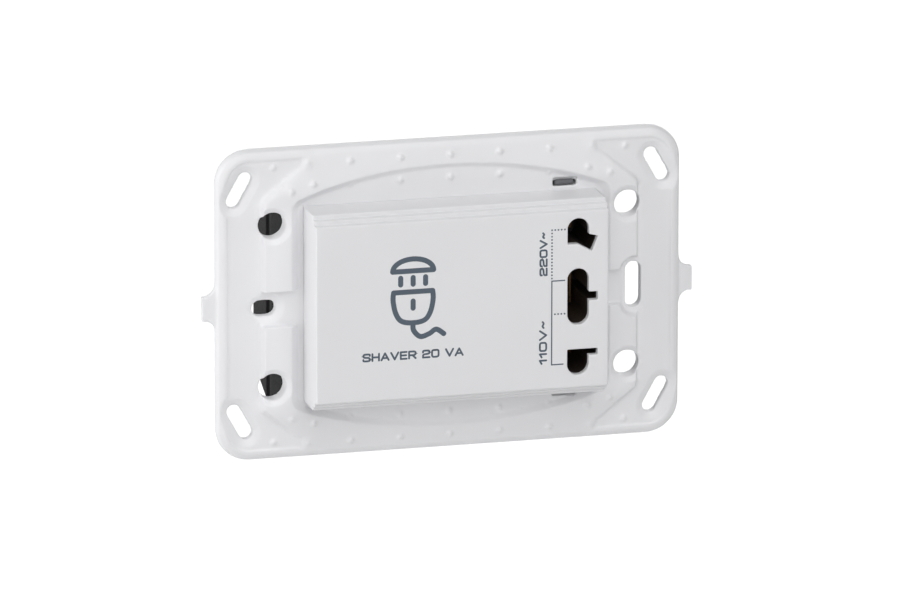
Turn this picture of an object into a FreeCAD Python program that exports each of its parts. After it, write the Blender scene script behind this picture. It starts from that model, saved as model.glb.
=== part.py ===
import FreeCAD, Part
import math
import operator
import os

import Sketcher

# Shaver socket: moulded fixing frame, clipped socket cover, transformer housing behind.
# X runs right, Y into the wall, Z up. The wall is the plane Y = 0, the front faces -Y.
# The origin is the centre of the round fixing holes on the wall plane.

Vector = FreeCAD.Vector

# Driving dimensions in millimetres and degrees
SIZES = {
    # Fixing frame
    "plate_width": 105.0,
    "plate_height": 70.0,
    "plate_corner": 7.5,
    "plate_depth": 3.0,
    "plate_round": 1.6,
    "rim_slope": 22.5,
    "tab_reach": 3.0,
    "tab_height": 5.5,
    "tab_level": -0.25,
    "tab_root": 2.5,
    "tab_depth": 1.8,
    "platform_width": 85.2,
    "platform_margin": 1.9,
    "platform_cut_x": 12.0,
    "platform_cut_z": 9.4,
    "platform_rise": 1.6,
    "platform_slope": 20.0,
    "band_run": 8.5,
    "bead_width": 2.3,
    "bead_height": 0.3,
    "pan_gap": 1.4,
    "pan_run": 1.6,
    "pan_arc_run": 2.4,
    "pan_apex": 31.1,
    "pan_sag": 7.15,
    "pan_foot_sag": 5.4,
    "pan_corner": 2.8,
    "pan_corner_width": 2.2,
    "pan_corner_height": 2.6,
    "back_pocket_length": 13.0,
    "back_pocket_height": 3.8,
    "back_pocket_depth": 1.4,
    "back_pocket_pitch": 15.0,
    "back_pocket_level": 30.7,
    "seat_recess": 0.6,
    # Fixing holes and slots
    "hole_span_x": 80.2,
    "hole_span_z": 36.4,
    "hole_diameter": 6.0,
    "dish_depth": 0.8,
    "dish_slope": 56.0,
    "slot_dish_slope": 65.0,
    "long_dish_border": 1.8,
    "long_dish_depth": 2.0,
    "slot_span": 83.5,
    "slot_level": -0.6,
    "left_slot_length": 5.4,
    "left_slot_width": 3.6,
    "right_slot_length": 10.4,
    "right_slot_width": 3.5,
    "gap_height": 7.8,
    "corner_span_x": 94.3,
    "corner_span_z": 52.3,
    "corner_slot_length": 8.6,
    "corner_slot_width": 3.1,
    "corner_slot_tilt": 29.0,
    # Front cover
    "face_height": 40.0,
    "step_height": 1.0,
    "step_depth": 1.4,
    "cover_rise": 11.3,
    "cover_wall": 1.8,
    "cover_seat": 1.0,
    "spigot_depth": 1.8,
    "notch_depth": 0.6,
    "notch_rise": 0.8,
    "edge_round": 0.35,
    "fit": 0.15,
    # Pin apertures
    "pin_inset": 6.9,
    "pin_level": 0.6,
    "pin_radius": 2.45,
    "outer_pin": 15.25,
    "outer_flat": 11.9,
    "inner_pin": 3.9,
    "blade_reach": 4.5,
    "blade_height": 1.95,
    "low_blade_height": 1.5,
    "blade_tip_x": 3.1,
    "blade_tip_drop": 1.8,
    "blade_rise": 1.6,
    "blade_shoulder": 2.1,
    "well_gap": 0.15,
    # Contact carrier and contacts
    "carrier_side": 5.3,
    "well_floor": 1.5,
    "strip": 0.5,
    "contact_half": 2.1,
    "contact_pinch": 0.4,
    "contact_height": 4.0,
    "outer_contact_width": 4.4,
    "outer_contact_level": 14.2,
    "common_contact_width": 10.0,
    "tail_width": 3.0,
    "tail_reach": 7.0,
    # Housing
    "house_margin": 2.7,
    "house_wall": 3.2,
    "house_corner": 0.8,
    "inner_corner": 3.0,
    "ring_depth": 18.0,
    "shelf_level": 5.0,
    "shelf_thick": 1.6,
    "rib_thick": 3.0,
    "rib_start": 4.0,
    "rib_overlap": 5.0,
    "lip_wall": 0.9,
    "lip_depth": 2.0,
    "groove_width": 2.2,
    "groove_depth": 0.7,
    "floor_wall": 2.0,
    "floor_gap": 0.8,
    "back_inset_x": 1.5,
    "back_inset_z": 3.8,
    "pad_width": 6.0,
    "pad_height": 4.0,
    # Clips that hold the housing to the frame
    "clip_inset": 7.0,
    "window_length": 5.4,
    "window_height": 2.0,
    "clip_thick": 0.85,
    "clip_side": 0.5,
    "clip_clear": 1.2,
    "clip_sink": 1.0,
    "hook_thick": 0.7,
    "hook_reach": 0.4,
    # Transformer
    "leg_width": 8.0,
    "core_stack": 17.0,
    "core_front": 12.5,
    "core_gap": 0.45,
    "core_headroom": 3.15,
    "clamp_sheet": 0.8,
    "clamp_width": 10.0,
    "bobbin_gap": 0.1,
    "bobbin_wall": 1.0,
    "winding_build": 5.3,
    "winding_corner": 3.0,
    "flange_over": 0.3,
    "cutout_length": 10.0,
    "cutout_height": 6.0,
    "cutout_thick": 3.5,
    # Terminals
    "terminal_gap": 0.7,
    "terminal_width": 11.9,
    "terminal_side_gap": 0.25,
    "terminal_depth": 13.0,
    "terminal_height": 17.5,
    "terminal_level": -5.25,
    "terminal_pitch": 7.5,
    "clamp_length": 8.0,
    "clamp_height": 6.4,
    "clamp_depth": 8.5,
    "clamp_floor": 2.5,
    "wire_bore": 4.0,
    "wire_level": 4.5,
    "terminal_screw": 3.0,
    "terminal_head": 4.8,
    "terminal_head_height": 1.8,
    "terminal_screw_length": 4.5,
    # Cover screws
    "boss_diameter": 6.0,
    "boss_inset": 7.0,
    "boss_level": 19.8,
    "screw_diameter": 2.9,
    "screw_head": 5.0,
    "screw_head_height": 2.0,
    "screw_head_floor": 3.0,
    "screw_grip": 9.0,
    # Leads
    "lead_diameter": 1.6,
}


class Size:
    """A number together with the sheet formula that gives it."""

    def __init__(self, value, formula):
        self.value = value
        self.formula = formula

    def __float__(self):
        return self.value

    def joined(self, sign, work, other, swap=False):
        other = as_size(other)
        first, second = (other, self) if swap else (self, other)
        formula = f"({first.formula} {sign} {second.formula})"
        return Size(work(first.value, second.value), formula)

    def __add__(self, other):
        return self.joined("+", operator.add, other)

    def __radd__(self, other):
        return self.joined("+", operator.add, other, swap=True)

    def __sub__(self, other):
        return self.joined("-", operator.sub, other)

    def __rsub__(self, other):
        return self.joined("-", operator.sub, other, swap=True)

    def __mul__(self, other):
        return self.joined("*", operator.mul, other)

    def __rmul__(self, other):
        return self.joined("*", operator.mul, other, swap=True)

    def __truediv__(self, other):
        return self.joined("/", operator.truediv, other)

    def __neg__(self):
        return self.joined("*", operator.mul, -1.0)


def as_size(value):
    return value if isinstance(value, Size) else Size(float(value), f"({float(value)})")


def smaller(first, second):
    return Size(min(first.value, second.value), f"min({first.formula}; {second.formula})")


def sine(angle):
    return Size(math.sin(math.radians(angle.value)), f"sin({angle.formula} * 1 deg)")


def tangent(angle):
    return Size(math.tan(math.radians(angle.value)), f"tan({angle.formula} * 1 deg)")


def cosine(angle):
    return Size(math.cos(math.radians(angle.value)), f"cos({angle.formula} * 1 deg)")


doc = FreeCAD.newDocument("shaver_socket")


def fill_sheet():
    """Writes the driving dimensions to the sheet and returns them as sizes."""
    sheet = doc.addObject("Spreadsheet::Sheet", "Sizes")
    sizes = {}
    for row, (name, value) in enumerate(SIZES.items(), start=1):
        sheet.set(f"A{row}", name)
        sheet.set(f"B{row}", str(value))
        sheet.setAlias(f"B{row}", name)
        sizes[name] = Size(value, f"Sizes.{name}")
    doc.recompute()
    return sizes


S = fill_sheet()

# Places worked out from the driving dimensions
CORE_WIDTH = S["leg_width"] * 6
CORE_HEIGHT = S["leg_width"] * 5
CORE_BACK = S["core_front"] + S["core_stack"]
CORE_MIDDLE = S["core_front"] + S["core_stack"] / 2
TUBE_X = S["leg_width"] + S["bobbin_gap"] + S["bobbin_wall"]
TUBE_Y = S["core_stack"] / 2 + S["bobbin_gap"] + S["bobbin_wall"]
COIL_X = TUBE_X + S["winding_build"]
COIL_Y = TUBE_Y + S["winding_build"]

CAVITY_WIDTH = (S["core_gap"] + CORE_WIDTH + S["clamp_sheet"] * 2 + S["terminal_gap"]
                + S["terminal_width"] + S["terminal_side_gap"])
CAVITY_HEIGHT = CORE_HEIGHT + (S["clamp_sheet"] + S["core_headroom"]) * 2
CAVITY_FLOOR = CORE_MIDDLE + COIL_Y + S["flange_over"] + S["floor_gap"]
RING_INNER_X = CAVITY_WIDTH / 2 + S["lip_wall"] + S["fit"]
RING_INNER_Z = CAVITY_HEIGHT / 2 + S["lip_wall"] + S["fit"]
HOUSE_X = RING_INNER_X + S["house_wall"]
HOUSE_Z = RING_INNER_Z + S["house_wall"]
HOUSE_BACK = CAVITY_FLOOR + S["floor_wall"]
CORE_X = CORE_WIDTH / 2 + S["clamp_sheet"] + S["core_gap"] - CAVITY_WIDTH / 2
TERMINAL_X = CAVITY_WIDTH / 2 - S["terminal_side_gap"] - S["terminal_width"] / 2

PLATE_FRONT = -S["plate_depth"]
PLATFORM_FRONT = PLATE_FRONT - S["platform_rise"]
PLATFORM_Z = S["plate_height"] / 2 - S["platform_margin"]
COVER_X = HOUSE_X - S["house_margin"]
COVER_Z = S["face_height"] / 2 + S["step_height"] * 2
COVER_FRONT = PLATE_FRONT - S["cover_rise"]
COVER_INNER_X = COVER_X - S["cover_wall"]
OPENING_X = COVER_X - S["cover_seat"]
OPENING_Z = COVER_Z - S["cover_seat"]
PAN_X = COVER_X + S["pan_gap"]

PIN_X = COVER_X - S["pin_inset"]
CARRIER_FRONT = COVER_FRONT + S["cover_wall"]
CARRIER_LEFT = PIN_X - S["carrier_side"]
CARRIER_RIGHT = COVER_INNER_X - S["fit"]
CARRIER_Z = S["face_height"] / 2 + S["step_height"] - S["cover_wall"] - S["fit"]
WELL_END = S["shelf_level"] - S["well_floor"]
CONTACT_LEVELS = [S["pin_level"] + S["outer_contact_level"] * step for step in (-1, 0, 1)]
TAIL_END = S["shelf_level"] + S["tail_reach"]

CLIP_X = COVER_X - S["clip_inset"]
CLIP_OUTER = RING_INNER_Z - S["clip_clear"]
CLIP_INNER = CLIP_OUTER - S["clip_thick"]
WINDOW_INNER = CLIP_INNER - S["fit"]
WINDOW_OUTER = WINDOW_INNER + S["window_height"]
LEDGE_LEVEL = PLATE_FRONT + S["clip_sink"]

BOSS_X = CAVITY_WIDTH / 2 - S["boss_inset"]

CLAMP_FRONT = CAVITY_FLOOR - S["terminal_depth"] + S["clamp_floor"]
WIRE_Y = CLAMP_FRONT + S["wire_level"]

BOBBIN_Z = S["leg_width"] * 1.5 - S["bobbin_gap"]
COIL_FRONT = CORE_MIDDLE - COIL_Y
COIL_HEIGHT = BOBBIN_Z - S["bobbin_wall"] * 1.5
PRIMARY_LOW = S["bobbin_wall"] - BOBBIN_Z
SECONDARY_LOW = S["bobbin_wall"] / 2


def bind(thing, place, size):
    """Ties one property of an object to the sheet."""
    thing.setExpression(place, as_size(size).formula)


def new_body(label):
    body = doc.addObject("PartDesign::Body", label)
    body.Label = label
    return body


def own_plane(body, role):
    return next(item for item in body.Origin.OriginFeatures if item.Role == role)


def sketch_on(body, role, level):
    """A sketch on one of the body's own planes, moved along the plane's normal."""
    sketch = body.newObject("Sketcher::SketchObject", "Sketch")
    sketch.AttachmentSupport = [(own_plane(body, role), "")]
    sketch.MapMode = "FlatFace"
    bind(sketch, "AttachmentOffset.Base.z", level)
    return sketch


def facing(body, y):
    """A sketch that faces the viewer at depth y; its own axes are X and Z."""
    return sketch_on(body, "XZ_Plane", -as_size(y))


def lying(body, z):
    """A sketch that lies flat at height z; its own axes are X and Y."""
    return sketch_on(body, "XY_Plane", z)


def upright(body, x):
    """A sketch across the part at x; its own axes are Y and Z."""
    return sketch_on(body, "YZ_Plane", x)


def fix_point(sketch, shape, spot, across, up):
    """Ties a point of a sketch to signed distances from the sketch's origin."""
    for kind, size in (("DistanceX", across), ("DistanceY", up)):
        size = as_size(size)
        index = sketch.addConstraint(Sketcher.Constraint(kind, -1, 1, shape, spot, size.value))
        bind(sketch, f"Constraints[{index}]", size)


def arc_through(start, end, radius):
    """A sketch arc; a positive radius turns left from start to end, a negative one right."""
    chord = end - start
    middle = (start + end) / 2
    rise = math.sqrt(max(radius * radius - chord.Length ** 2 / 4, 0.0))
    left = Vector(-chord.y, chord.x, 0).normalize()
    centre = middle + left * math.copysign(rise, radius)
    first, last = (start, end) if radius > 0 else (end, start)
    angles = [math.atan2(point.y - centre.y, point.x - centre.x) for point in (first, last)]
    return Part.ArcOfCircle(Part.Circle(centre, Vector(0, 0, 1), abs(radius)), *angles)


def outline(sketch, corners):
    """A closed outline; a corner's third value is the radius of the arc to the next corner."""
    base = sketch.GeometryCount
    points = [Vector(float(corner[0]), float(corner[1]), 0) for corner in corners]
    starts = []
    for index, corner in enumerate(corners):
        start, end = points[index], points[(index + 1) % len(points)]
        if len(corner) == 3:
            radius = as_size(corner[2])
            sketch.addGeometry(arc_through(start, end, radius.value), False)
            starts.append(1 if radius.value > 0 else 2)
        else:
            sketch.addGeometry(Part.LineSegment(start, end), False)
            starts.append(1)
    for index, corner in enumerate(corners):
        before = (index - 1) % len(corners)
        here = base + index
        last_end = 3 - starts[before]
        sketch.addConstraint(
            Sketcher.Constraint("Coincident", base + before, last_end, here, starts[index]))
        fix_point(sketch, here, starts[index], corner[0], corner[1])
        if len(corner) == 3:
            radius = as_size(corner[2])
            length = radius if radius.value > 0 else -radius
            place = sketch.addConstraint(Sketcher.Constraint("Radius", here, length.value))
            bind(sketch, f"Constraints[{place}]", length)


def rectangle(sketch, left, right, low, high):
    outline(sketch, [(left, low), (right, low), (right, high), (left, high)])


def circle(sketch, across, up, radius):
    radius = as_size(radius)
    centre = Vector(float(across), float(up), 0)
    shape = sketch.addGeometry(Part.Circle(centre, Vector(0, 0, 1), radius.value), False)
    fix_point(sketch, shape, 3, across, up)
    place = sketch.addConstraint(Sketcher.Constraint("Radius", shape, radius.value))
    bind(sketch, f"Constraints[{place}]", radius)


def ring_of_arcs(sketch, centres, radius, turns):
    """Round corners of one radius about the centres, joined by tangent lines, anticlockwise."""
    base = sketch.GeometryCount
    radius = as_size(radius)
    count = len(centres)
    middles = [Vector(float(across), float(up), 0) for across, up in centres]
    for middle, (begin, finish) in zip(middles, turns):
        round_edge = Part.Circle(middle, Vector(0, 0, 1), radius.value)
        sketch.addGeometry(
            Part.ArcOfCircle(round_edge, math.radians(begin), math.radians(finish)), False)
    for index in range(count):
        arcs = [sketch.Geometry[base + index], sketch.Geometry[base + (index + 1) % count]]
        sketch.addGeometry(Part.LineSegment(arcs[0].EndPoint, arcs[1].StartPoint), False)
    for index in range(count):
        line = base + count + index
        follower = base + (index + 1) % count
        sketch.addConstraint(Sketcher.Constraint("Tangent", base + index, 2, line, 1))
        sketch.addConstraint(Sketcher.Constraint("Tangent", line, 2, follower, 1))
    place = sketch.addConstraint(Sketcher.Constraint("Radius", base, radius.value))
    bind(sketch, f"Constraints[{place}]", radius)
    for index in range(1, count):
        sketch.addConstraint(Sketcher.Constraint("Equal", base, base + index))
    return base


def rounded(sketch, half_x, half_z, radius, across=0.0, up=0.0):
    """A rectangle with round corners about a centre."""
    radius = as_size(radius)
    reach_x = half_x - radius
    reach_z = half_z - radius
    signs = [(1, 1), (-1, 1), (-1, -1), (1, -1)]
    centres = [(across + reach_x * sx, up + reach_z * sz) for sx, sz in signs]
    turns = [(90 * step, 90 * step + 90) for step in range(4)]
    base = ring_of_arcs(sketch, centres, radius, turns)
    for line, kind in zip(range(base + 4, base + 8), ("Horizontal", "Vertical") * 2):
        sketch.addConstraint(Sketcher.Constraint(kind, line))
    for arc in (0, 2):
        fix_point(sketch, base + arc, 3, *centres[arc])


def slot(sketch, across, up, length, width, tilt):
    """A round-ended slot; tilt turns its long way from the sketch's first axis."""
    reach = (length - width) / 2
    shift = (reach * cosine(tilt), reach * sine(tilt))
    centres = [(across + shift[0], up + shift[1]), (across - shift[0], up - shift[1])]
    turns = [(tilt.value - 90, tilt.value + 90), (tilt.value + 90, tilt.value + 270)]
    base = ring_of_arcs(sketch, centres, width / 2, turns)
    for arc in (0, 1):
        fix_point(sketch, base + arc, 3, *centres[arc])


def volume(body):
    doc.recompute()
    return body.Shape.Volume


def pad(body, sketch, length, reverse=False, taper=None):
    feature = body.newObject("PartDesign::Pad", "Pad")
    feature.Profile = sketch
    bind(feature, "Length", length)
    feature.Reversed = reverse
    if taper is not None:
        bind(feature, "TaperAngle", taper)
    doc.recompute()
    return feature


def pad_both(body, sketch, length):
    """A pad that grows both ways from its sketch."""
    feature = pad(body, sketch, length)
    feature.SideType = "Symmetric"
    doc.recompute()
    return feature


def pocket(body, sketch, length, reverse=False, taper=None):
    """A pocket that has to take something away; with no length it goes right through."""
    before = volume(body)
    feature = body.newObject("PartDesign::Pocket", "Pocket")
    feature.Profile = sketch
    feature.Reversed = reverse
    if length is None:
        feature.Type = "ThroughAll"
    else:
        bind(feature, "Length", length)
    if taper is not None:
        bind(feature, "TaperAngle", taper)
    if volume(body) > before - 1e-6:
        raise RuntimeError(f"{body.Label}: a pocket cuts nothing")
    return feature


def pocket_both(body, sketch, length):
    """A pocket that cuts both ways from its sketch."""
    before = volume(body)
    feature = body.newObject("PartDesign::Pocket", "Pocket")
    feature.Profile = sketch
    feature.SideType = "Symmetric"
    bind(feature, "Length", length)
    if volume(body) > before - 1e-6:
        raise RuntimeError(f"{body.Label}: a pocket cuts nothing")


def loft(body, kind, first, last):
    """Adds or cuts the form that runs straight from one outline to another."""
    feature = body.newObject(kind, "Loft")
    feature.Profile = first
    feature.Sections = [last]
    feature.Ruled = True
    doc.recompute()


def round_edges(body, radius, wanted):
    """Rounds the edges of the body that a test picks."""
    tip = body.Tip
    names = [f"Edge{i}" for i, edge in enumerate(tip.Shape.Edges, start=1) if wanted(edge)]
    feature = body.newObject("PartDesign::Fillet", "Fillet")
    feature.Base = (tip, names)
    bind(feature, "Radius", radius)
    doc.recompute()


def near(first, second):
    return abs(float(first) - float(second)) < 1e-4


SIDES = (-1, 1)
CORNERS = [(sx, sz) for sx in SIDES for sz in SIDES]


def eight_sided(sketch, half_x, half_z, cut_x, cut_z):
    """A rectangle with its corners cut off."""
    outline(sketch, [
        (half_x, cut_z - half_z), (half_x, half_z - cut_z),
        (half_x - cut_x, half_z), (cut_x - half_x, half_z),
        (-half_x, half_z - cut_z), (-half_x, cut_z - half_z),
        (cut_x - half_x, -half_z), (half_x - cut_x, -half_z)])


def frame_plate(body):
    """The plate, whose rim turns back in two facets of a round."""
    reach = S["plate_round"]
    rise = reach * sine(S["rim_slope"] * 2)
    inset = rise * tangent(S["rim_slope"])
    start = reach - S["plate_depth"]
    for level, drawn_in, length, taper in (
            (as_size(0.0), as_size(0.0), S["plate_depth"] - reach, None),
            (start, as_size(0.0), rise, -S["rim_slope"]),
            (start - rise, inset, reach - rise, S["rim_slope"] - 90)):
        sketch = facing(body, level)
        rounded(sketch, S["plate_width"] / 2 - drawn_in, S["plate_height"] / 2 - drawn_in,
                S["plate_corner"] - drawn_in)
        pad(body, sketch, length, taper=taper)


def frame_tabs(body):
    """Ears at both sides, with hollow roots."""
    edge = S["plate_width"] / 2
    low = S["tab_level"] - S["tab_height"] / 2
    high = S["tab_level"] + S["tab_height"] / 2
    root = smaller(S["tab_root"], S["tab_reach"] * 0.9)
    sketch = facing(body, 0.0)
    for side in SIDES:
        inside = (edge - S["plate_round"]) * side
        outline(sketch, [
            (inside, low - root), (edge * side, low - root, root * -side),
            ((edge + root) * side, low), ((edge + S["tab_reach"]) * side, low),
            ((edge + S["tab_reach"]) * side, high), ((edge + root) * side, high, root * -side),
            (edge * side, high + root), (inside, high + root)])
    pad(body, sketch, S["tab_depth"])


def frame_beads(body):
    """Sinks the side fields, which leaves a bead along the rim."""
    half_x = S["platform_width"] / 2
    cut_x, cut_z = S["platform_cut_x"], S["platform_cut_z"]
    bead_x = S["plate_width"] / 2 - S["bead_width"]
    bead_z = S["plate_height"] / 2 - S["bead_width"]
    corner = S["plate_corner"] - S["bead_width"]
    start_x = half_x - cut_x + (PLATFORM_Z - bead_z) * cut_x / cut_z
    sketch = facing(body, PLATE_FRONT)
    for side in SIDES:
        upper = [
            (start_x * side, bead_z), (half_x * side, PLATFORM_Z - cut_z)]
        lower = [
            (half_x * side, cut_z - PLATFORM_Z), (start_x * side, -bead_z),
            ((bead_x - corner) * side, -bead_z, corner * side),
            (bead_x * side, corner - bead_z), (bead_x * side, bead_z - corner, corner * side),
            ((bead_x - corner) * side, bead_z)]
        outline(sketch, upper + lower)
    pocket(body, sketch, S["bead_height"])


def frame_platform(body):
    """Raised middle field with sloping bands above and below and the pan sunk into it."""
    field = facing(body, PLATE_FRONT)
    eight_sided(field, S["platform_width"] / 2, PLATFORM_Z, S["platform_cut_x"], S["platform_cut_z"])
    pad(body, field, S["platform_rise"], taper=-S["platform_slope"])
    wedges = upright(body, 0.0)
    for side in SIDES:
        outline(wedges, [
            (PLATE_FRONT, PLATFORM_Z * side), (PLATFORM_FRONT, PLATFORM_Z * side),
            (PLATFORM_FRONT, (PLATFORM_Z - S["band_run"]) * side)])
    pocket_both(body, wedges, S["plate_width"])
    rim = pan_outline(body, PLATFORM_FRONT, PAN_X + S["pan_run"], S["pan_apex"], S["pan_sag"])
    foot = pan_outline(body, PLATE_FRONT, PAN_X, S["pan_apex"] - S["pan_arc_run"], S["pan_foot_sag"])
    loft(body, "PartDesign::SubtractiveLoft", rim, foot)


def pan_outline(body, level, side_x, apex, sag):
    """The pan's outline: straight sides, soft corners and bowed ends."""
    end_x = side_x - S["pan_corner_width"]
    end_z = apex - sag
    side_z = end_z - S["pan_corner_height"]
    bow = (end_x * end_x + sag * sag) / (sag * 2)
    corner = S["pan_corner"]
    sketch = facing(body, level)
    outline(sketch, [
        (side_x, side_z, corner), (end_x, end_z, bow), (-end_x, end_z, corner),
        (-side_x, side_z), (-side_x, -side_z, corner), (-end_x, -end_z, bow),
        (end_x, -end_z, corner), (side_x, -side_z)])
    return sketch


def frame_gaps(body):
    """Breaks in the side columns round the middle slots."""
    sketch = facing(body, PLATFORM_FRONT)
    outer = S["platform_width"] / 2
    half = S["gap_height"] / 2
    for side in SIDES:
        rectangle(sketch, PAN_X * side, outer * side, S["slot_level"] - half, S["slot_level"] + half)
    pocket(body, sketch, S["platform_rise"])


def frame_back(body):
    """Hollows that keep the wall even behind the sloping bands."""
    sketch = facing(body, 0.0)
    half = S["back_pocket_length"] / 2
    for step in (-1.5, -0.5, 0.5, 1.5):
        middle = S["back_pocket_pitch"] * step
        for side in SIDES:
            low = S["back_pocket_level"] * side - S["back_pocket_height"] / 2
            rectangle(sketch, middle - half, middle + half, low, low + S["back_pocket_height"])
    pocket(body, sketch, S["back_pocket_depth"], reverse=True)


def frame_slots(body):
    """Round holes, middle slots and slanting corner slots, each in a soft dish."""
    middle, level = S["slot_span"] / 2, S["slot_level"]
    left = (-middle, level, S["left_slot_length"], S["left_slot_width"], as_size(0.0))
    right = (middle, level, S["right_slot_length"], S["right_slot_width"], as_size(90.0))
    corners = [
        (S["corner_span_x"] / 2 * sx, S["corner_span_z"] / 2 * sz, S["corner_slot_length"],
         S["corner_slot_width"], 90 + S["corner_slot_tilt"] * (sx * sz)) for sx, sz in CORNERS]
    short, full = S["dish_depth"], S["dish_depth"] + S["bead_height"]
    spread = tangent(S["slot_dish_slope"])
    cuts = facing(body, PLATFORM_FRONT)
    for row, front, depth, border, slope in (
            [left, PLATE_FRONT, short, short * spread, S["slot_dish_slope"]],
            [right, PLATFORM_FRONT, S["long_dish_depth"], S["long_dish_border"], S["platform_slope"]],
            *([row, PLATE_FRONT, full, full * spread, S["slot_dish_slope"]] for row in corners)):
        across, height, length, width, tilt = row
        dish = facing(body, front)
        slot(dish, across, height, length + border * 2, width + border * 2, tilt)
        pocket(body, dish, depth, taper=-slope)
        slot(cuts, across, height, length, width, tilt)
    dishes = facing(body, PLATFORM_FRONT)
    radius = S["hole_diameter"] / 2
    for sx, sz in CORNERS:
        spot = (S["hole_span_x"] / 2 * sx, S["hole_span_z"] / 2 * sz)
        circle(dishes, *spot, radius + S["dish_depth"] * tangent(S["dish_slope"]))
        circle(cuts, *spot, radius)
    pocket(body, dishes, S["dish_depth"], taper=-S["dish_slope"])
    pocket(body, cuts, None)


def frame_windows(body):
    """Windows for the housing's clips, with a ledge under each hook."""
    for depth, outer in ((LEDGE_LEVEL - PLATFORM_FRONT, WINDOW_OUTER), (None, CLIP_OUTER + S["fit"])):
        sketch = facing(body, PLATFORM_FRONT)
        half = S["window_length"] / 2
        for side in SIDES:
            rectangle(sketch, CLIP_X - half, CLIP_X + half, WINDOW_INNER * side, outer * side)
        pocket(body, sketch, depth)


def make_fixing_frame():
    body = new_body("fixing_frame")
    frame_plate(body)
    frame_tabs(body)
    frame_platform(body)
    frame_beads(body)
    frame_gaps(body)
    opening = facing(body, PLATE_FRONT)
    rectangle(opening, -OPENING_X, OPENING_X, -OPENING_Z, OPENING_Z)
    pocket(body, opening, None)
    frame_back(body)
    frame_slots(body)
    frame_windows(body)
    seat = facing(body, 0.0)
    rounded(seat, HOUSE_X + S["fit"], HOUSE_Z + S["fit"], S["house_corner"])
    pocket(body, seat, S["seat_recess"], reverse=True)
    return body


def cut_apertures(body, front, depth, spread):
    """Three pin apertures with their side slots for flat blades."""
    middle, outer, radius = S["pin_level"], S["outer_pin"], S["pin_radius"] + spread
    low, high = middle - S["outer_flat"] + spread, middle + S["outer_flat"] - spread
    left, right = PIN_X - radius, PIN_X + radius
    far = PIN_X + S["blade_reach"] + spread
    rounds = facing(body, front)
    circle(rounds, PIN_X, middle + outer, radius)
    circle(rounds, PIN_X, middle - outer, radius)
    slot(rounds, PIN_X, middle, (S["inner_pin"] + radius) * 2, radius * 2, as_size(90.0))
    pocket(body, rounds, depth)
    flats = facing(body, front)
    rectangle(flats, left, right, high, middle + outer)
    rectangle(flats, left, right, middle - outer, low)
    pocket(body, flats, depth)
    blades = facing(body, front)
    half = S["blade_height"] / 2 + spread
    rectangle(blades, PIN_X, far, middle - half, middle + half)
    rectangle(blades, PIN_X, far, low - S["low_blade_height"] - spread * 2, low)
    tip = PIN_X + S["blade_tip_x"] + spread
    shoulder = high + S["blade_shoulder"] + spread * 2
    outline(blades, [
        (PIN_X, high), (tip, high - S["blade_tip_drop"]),
        (far, high + S["blade_rise"] + spread * 2), (right, shoulder), (PIN_X, shoulder)])
    pocket(body, blades, depth)


def make_front_cover():
    body = new_body("front_cover")
    section = upright(body, 0.0)
    face = S["face_height"] / 2
    step, tread = S["step_height"], S["step_depth"]
    half = [
        (PLATE_FRONT, COVER_Z), (COVER_FRONT + tread * 2, COVER_Z),
        (COVER_FRONT + tread * 2, face + step), (COVER_FRONT + tread, face + step),
        (COVER_FRONT + tread, face), (COVER_FRONT, face)]
    outline(section, half + [(y, -z) for y, z in reversed(half)])
    pad_both(body, section, COVER_X * 2)
    round_edges(body, S["edge_round"], lambda edge: is_cover_edge(edge, half))
    spigot = facing(body, PLATE_FRONT)
    rectangle(spigot, S["fit"] - OPENING_X, OPENING_X - S["fit"],
              S["fit"] - OPENING_Z, OPENING_Z - S["fit"])
    pad(body, spigot, S["spigot_depth"], reverse=True)
    end = PLATE_FRONT + S["spigot_depth"]
    wide_front = COVER_FRONT + tread * 2 + S["cover_wall"]
    wide_z = COVER_Z - S["cover_wall"]
    narrow_z = face + step - S["cover_wall"]
    for front, reach in ((wide_front, wide_z), (CARRIER_FRONT, narrow_z)):
        hollow = facing(body, end)
        rectangle(hollow, -COVER_INNER_X, COVER_INNER_X, -reach, reach)
        pocket(body, hollow, end - front, reverse=True)
    notches = facing(body, PLATE_FRONT)
    half_notch = S["window_length"] / 2
    for sz in SIDES:
        rectangle(notches, CLIP_X - half_notch, CLIP_X + half_notch,
                  COVER_Z * sz, (COVER_Z - S["notch_depth"]) * sz)
    pocket(body, notches, S["notch_rise"], reverse=True)
    cut_apertures(body, COVER_FRONT, S["cover_wall"], as_size(0.0))
    return body


def is_cover_edge(edge, half):
    """The long outer edges of the steps and the upright edges of the face."""
    box = edge.BoundBox
    outer = [half[1], half[3], half[5]]
    if box.XLength > 1.0:
        return any(near(box.YMin, y) and near(abs(box.ZMin), z) for y, z in outer)
    return near(box.YMin, COVER_FRONT) and near(box.YMax, COVER_FRONT)


def make_contact_carrier():
    body = new_body("contact_carrier")
    block = facing(body, S["shelf_level"])
    rectangle(block, CARRIER_LEFT, CARRIER_RIGHT, -CARRIER_Z, CARRIER_Z)
    pad(body, block, S["shelf_level"] - CARRIER_FRONT)
    cut_apertures(body, CARRIER_FRONT, WELL_END - CARRIER_FRONT, S["well_gap"])
    cut_tail_slots(body, WELL_END, S["well_floor"])
    return body


def cut_tail_slots(body, front, depth):
    """Slots that let the contacts' tails through a wall."""
    sketch = facing(body, front)
    half_x = S["strip"] / 2 + S["fit"]
    half_z = S["tail_width"] / 2 + S["fit"]
    for level in CONTACT_LEVELS:
        rectangle(sketch, PIN_X - half_x, PIN_X + half_x, level - half_z, level + half_z)
    pocket(body, sketch, depth)


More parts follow.
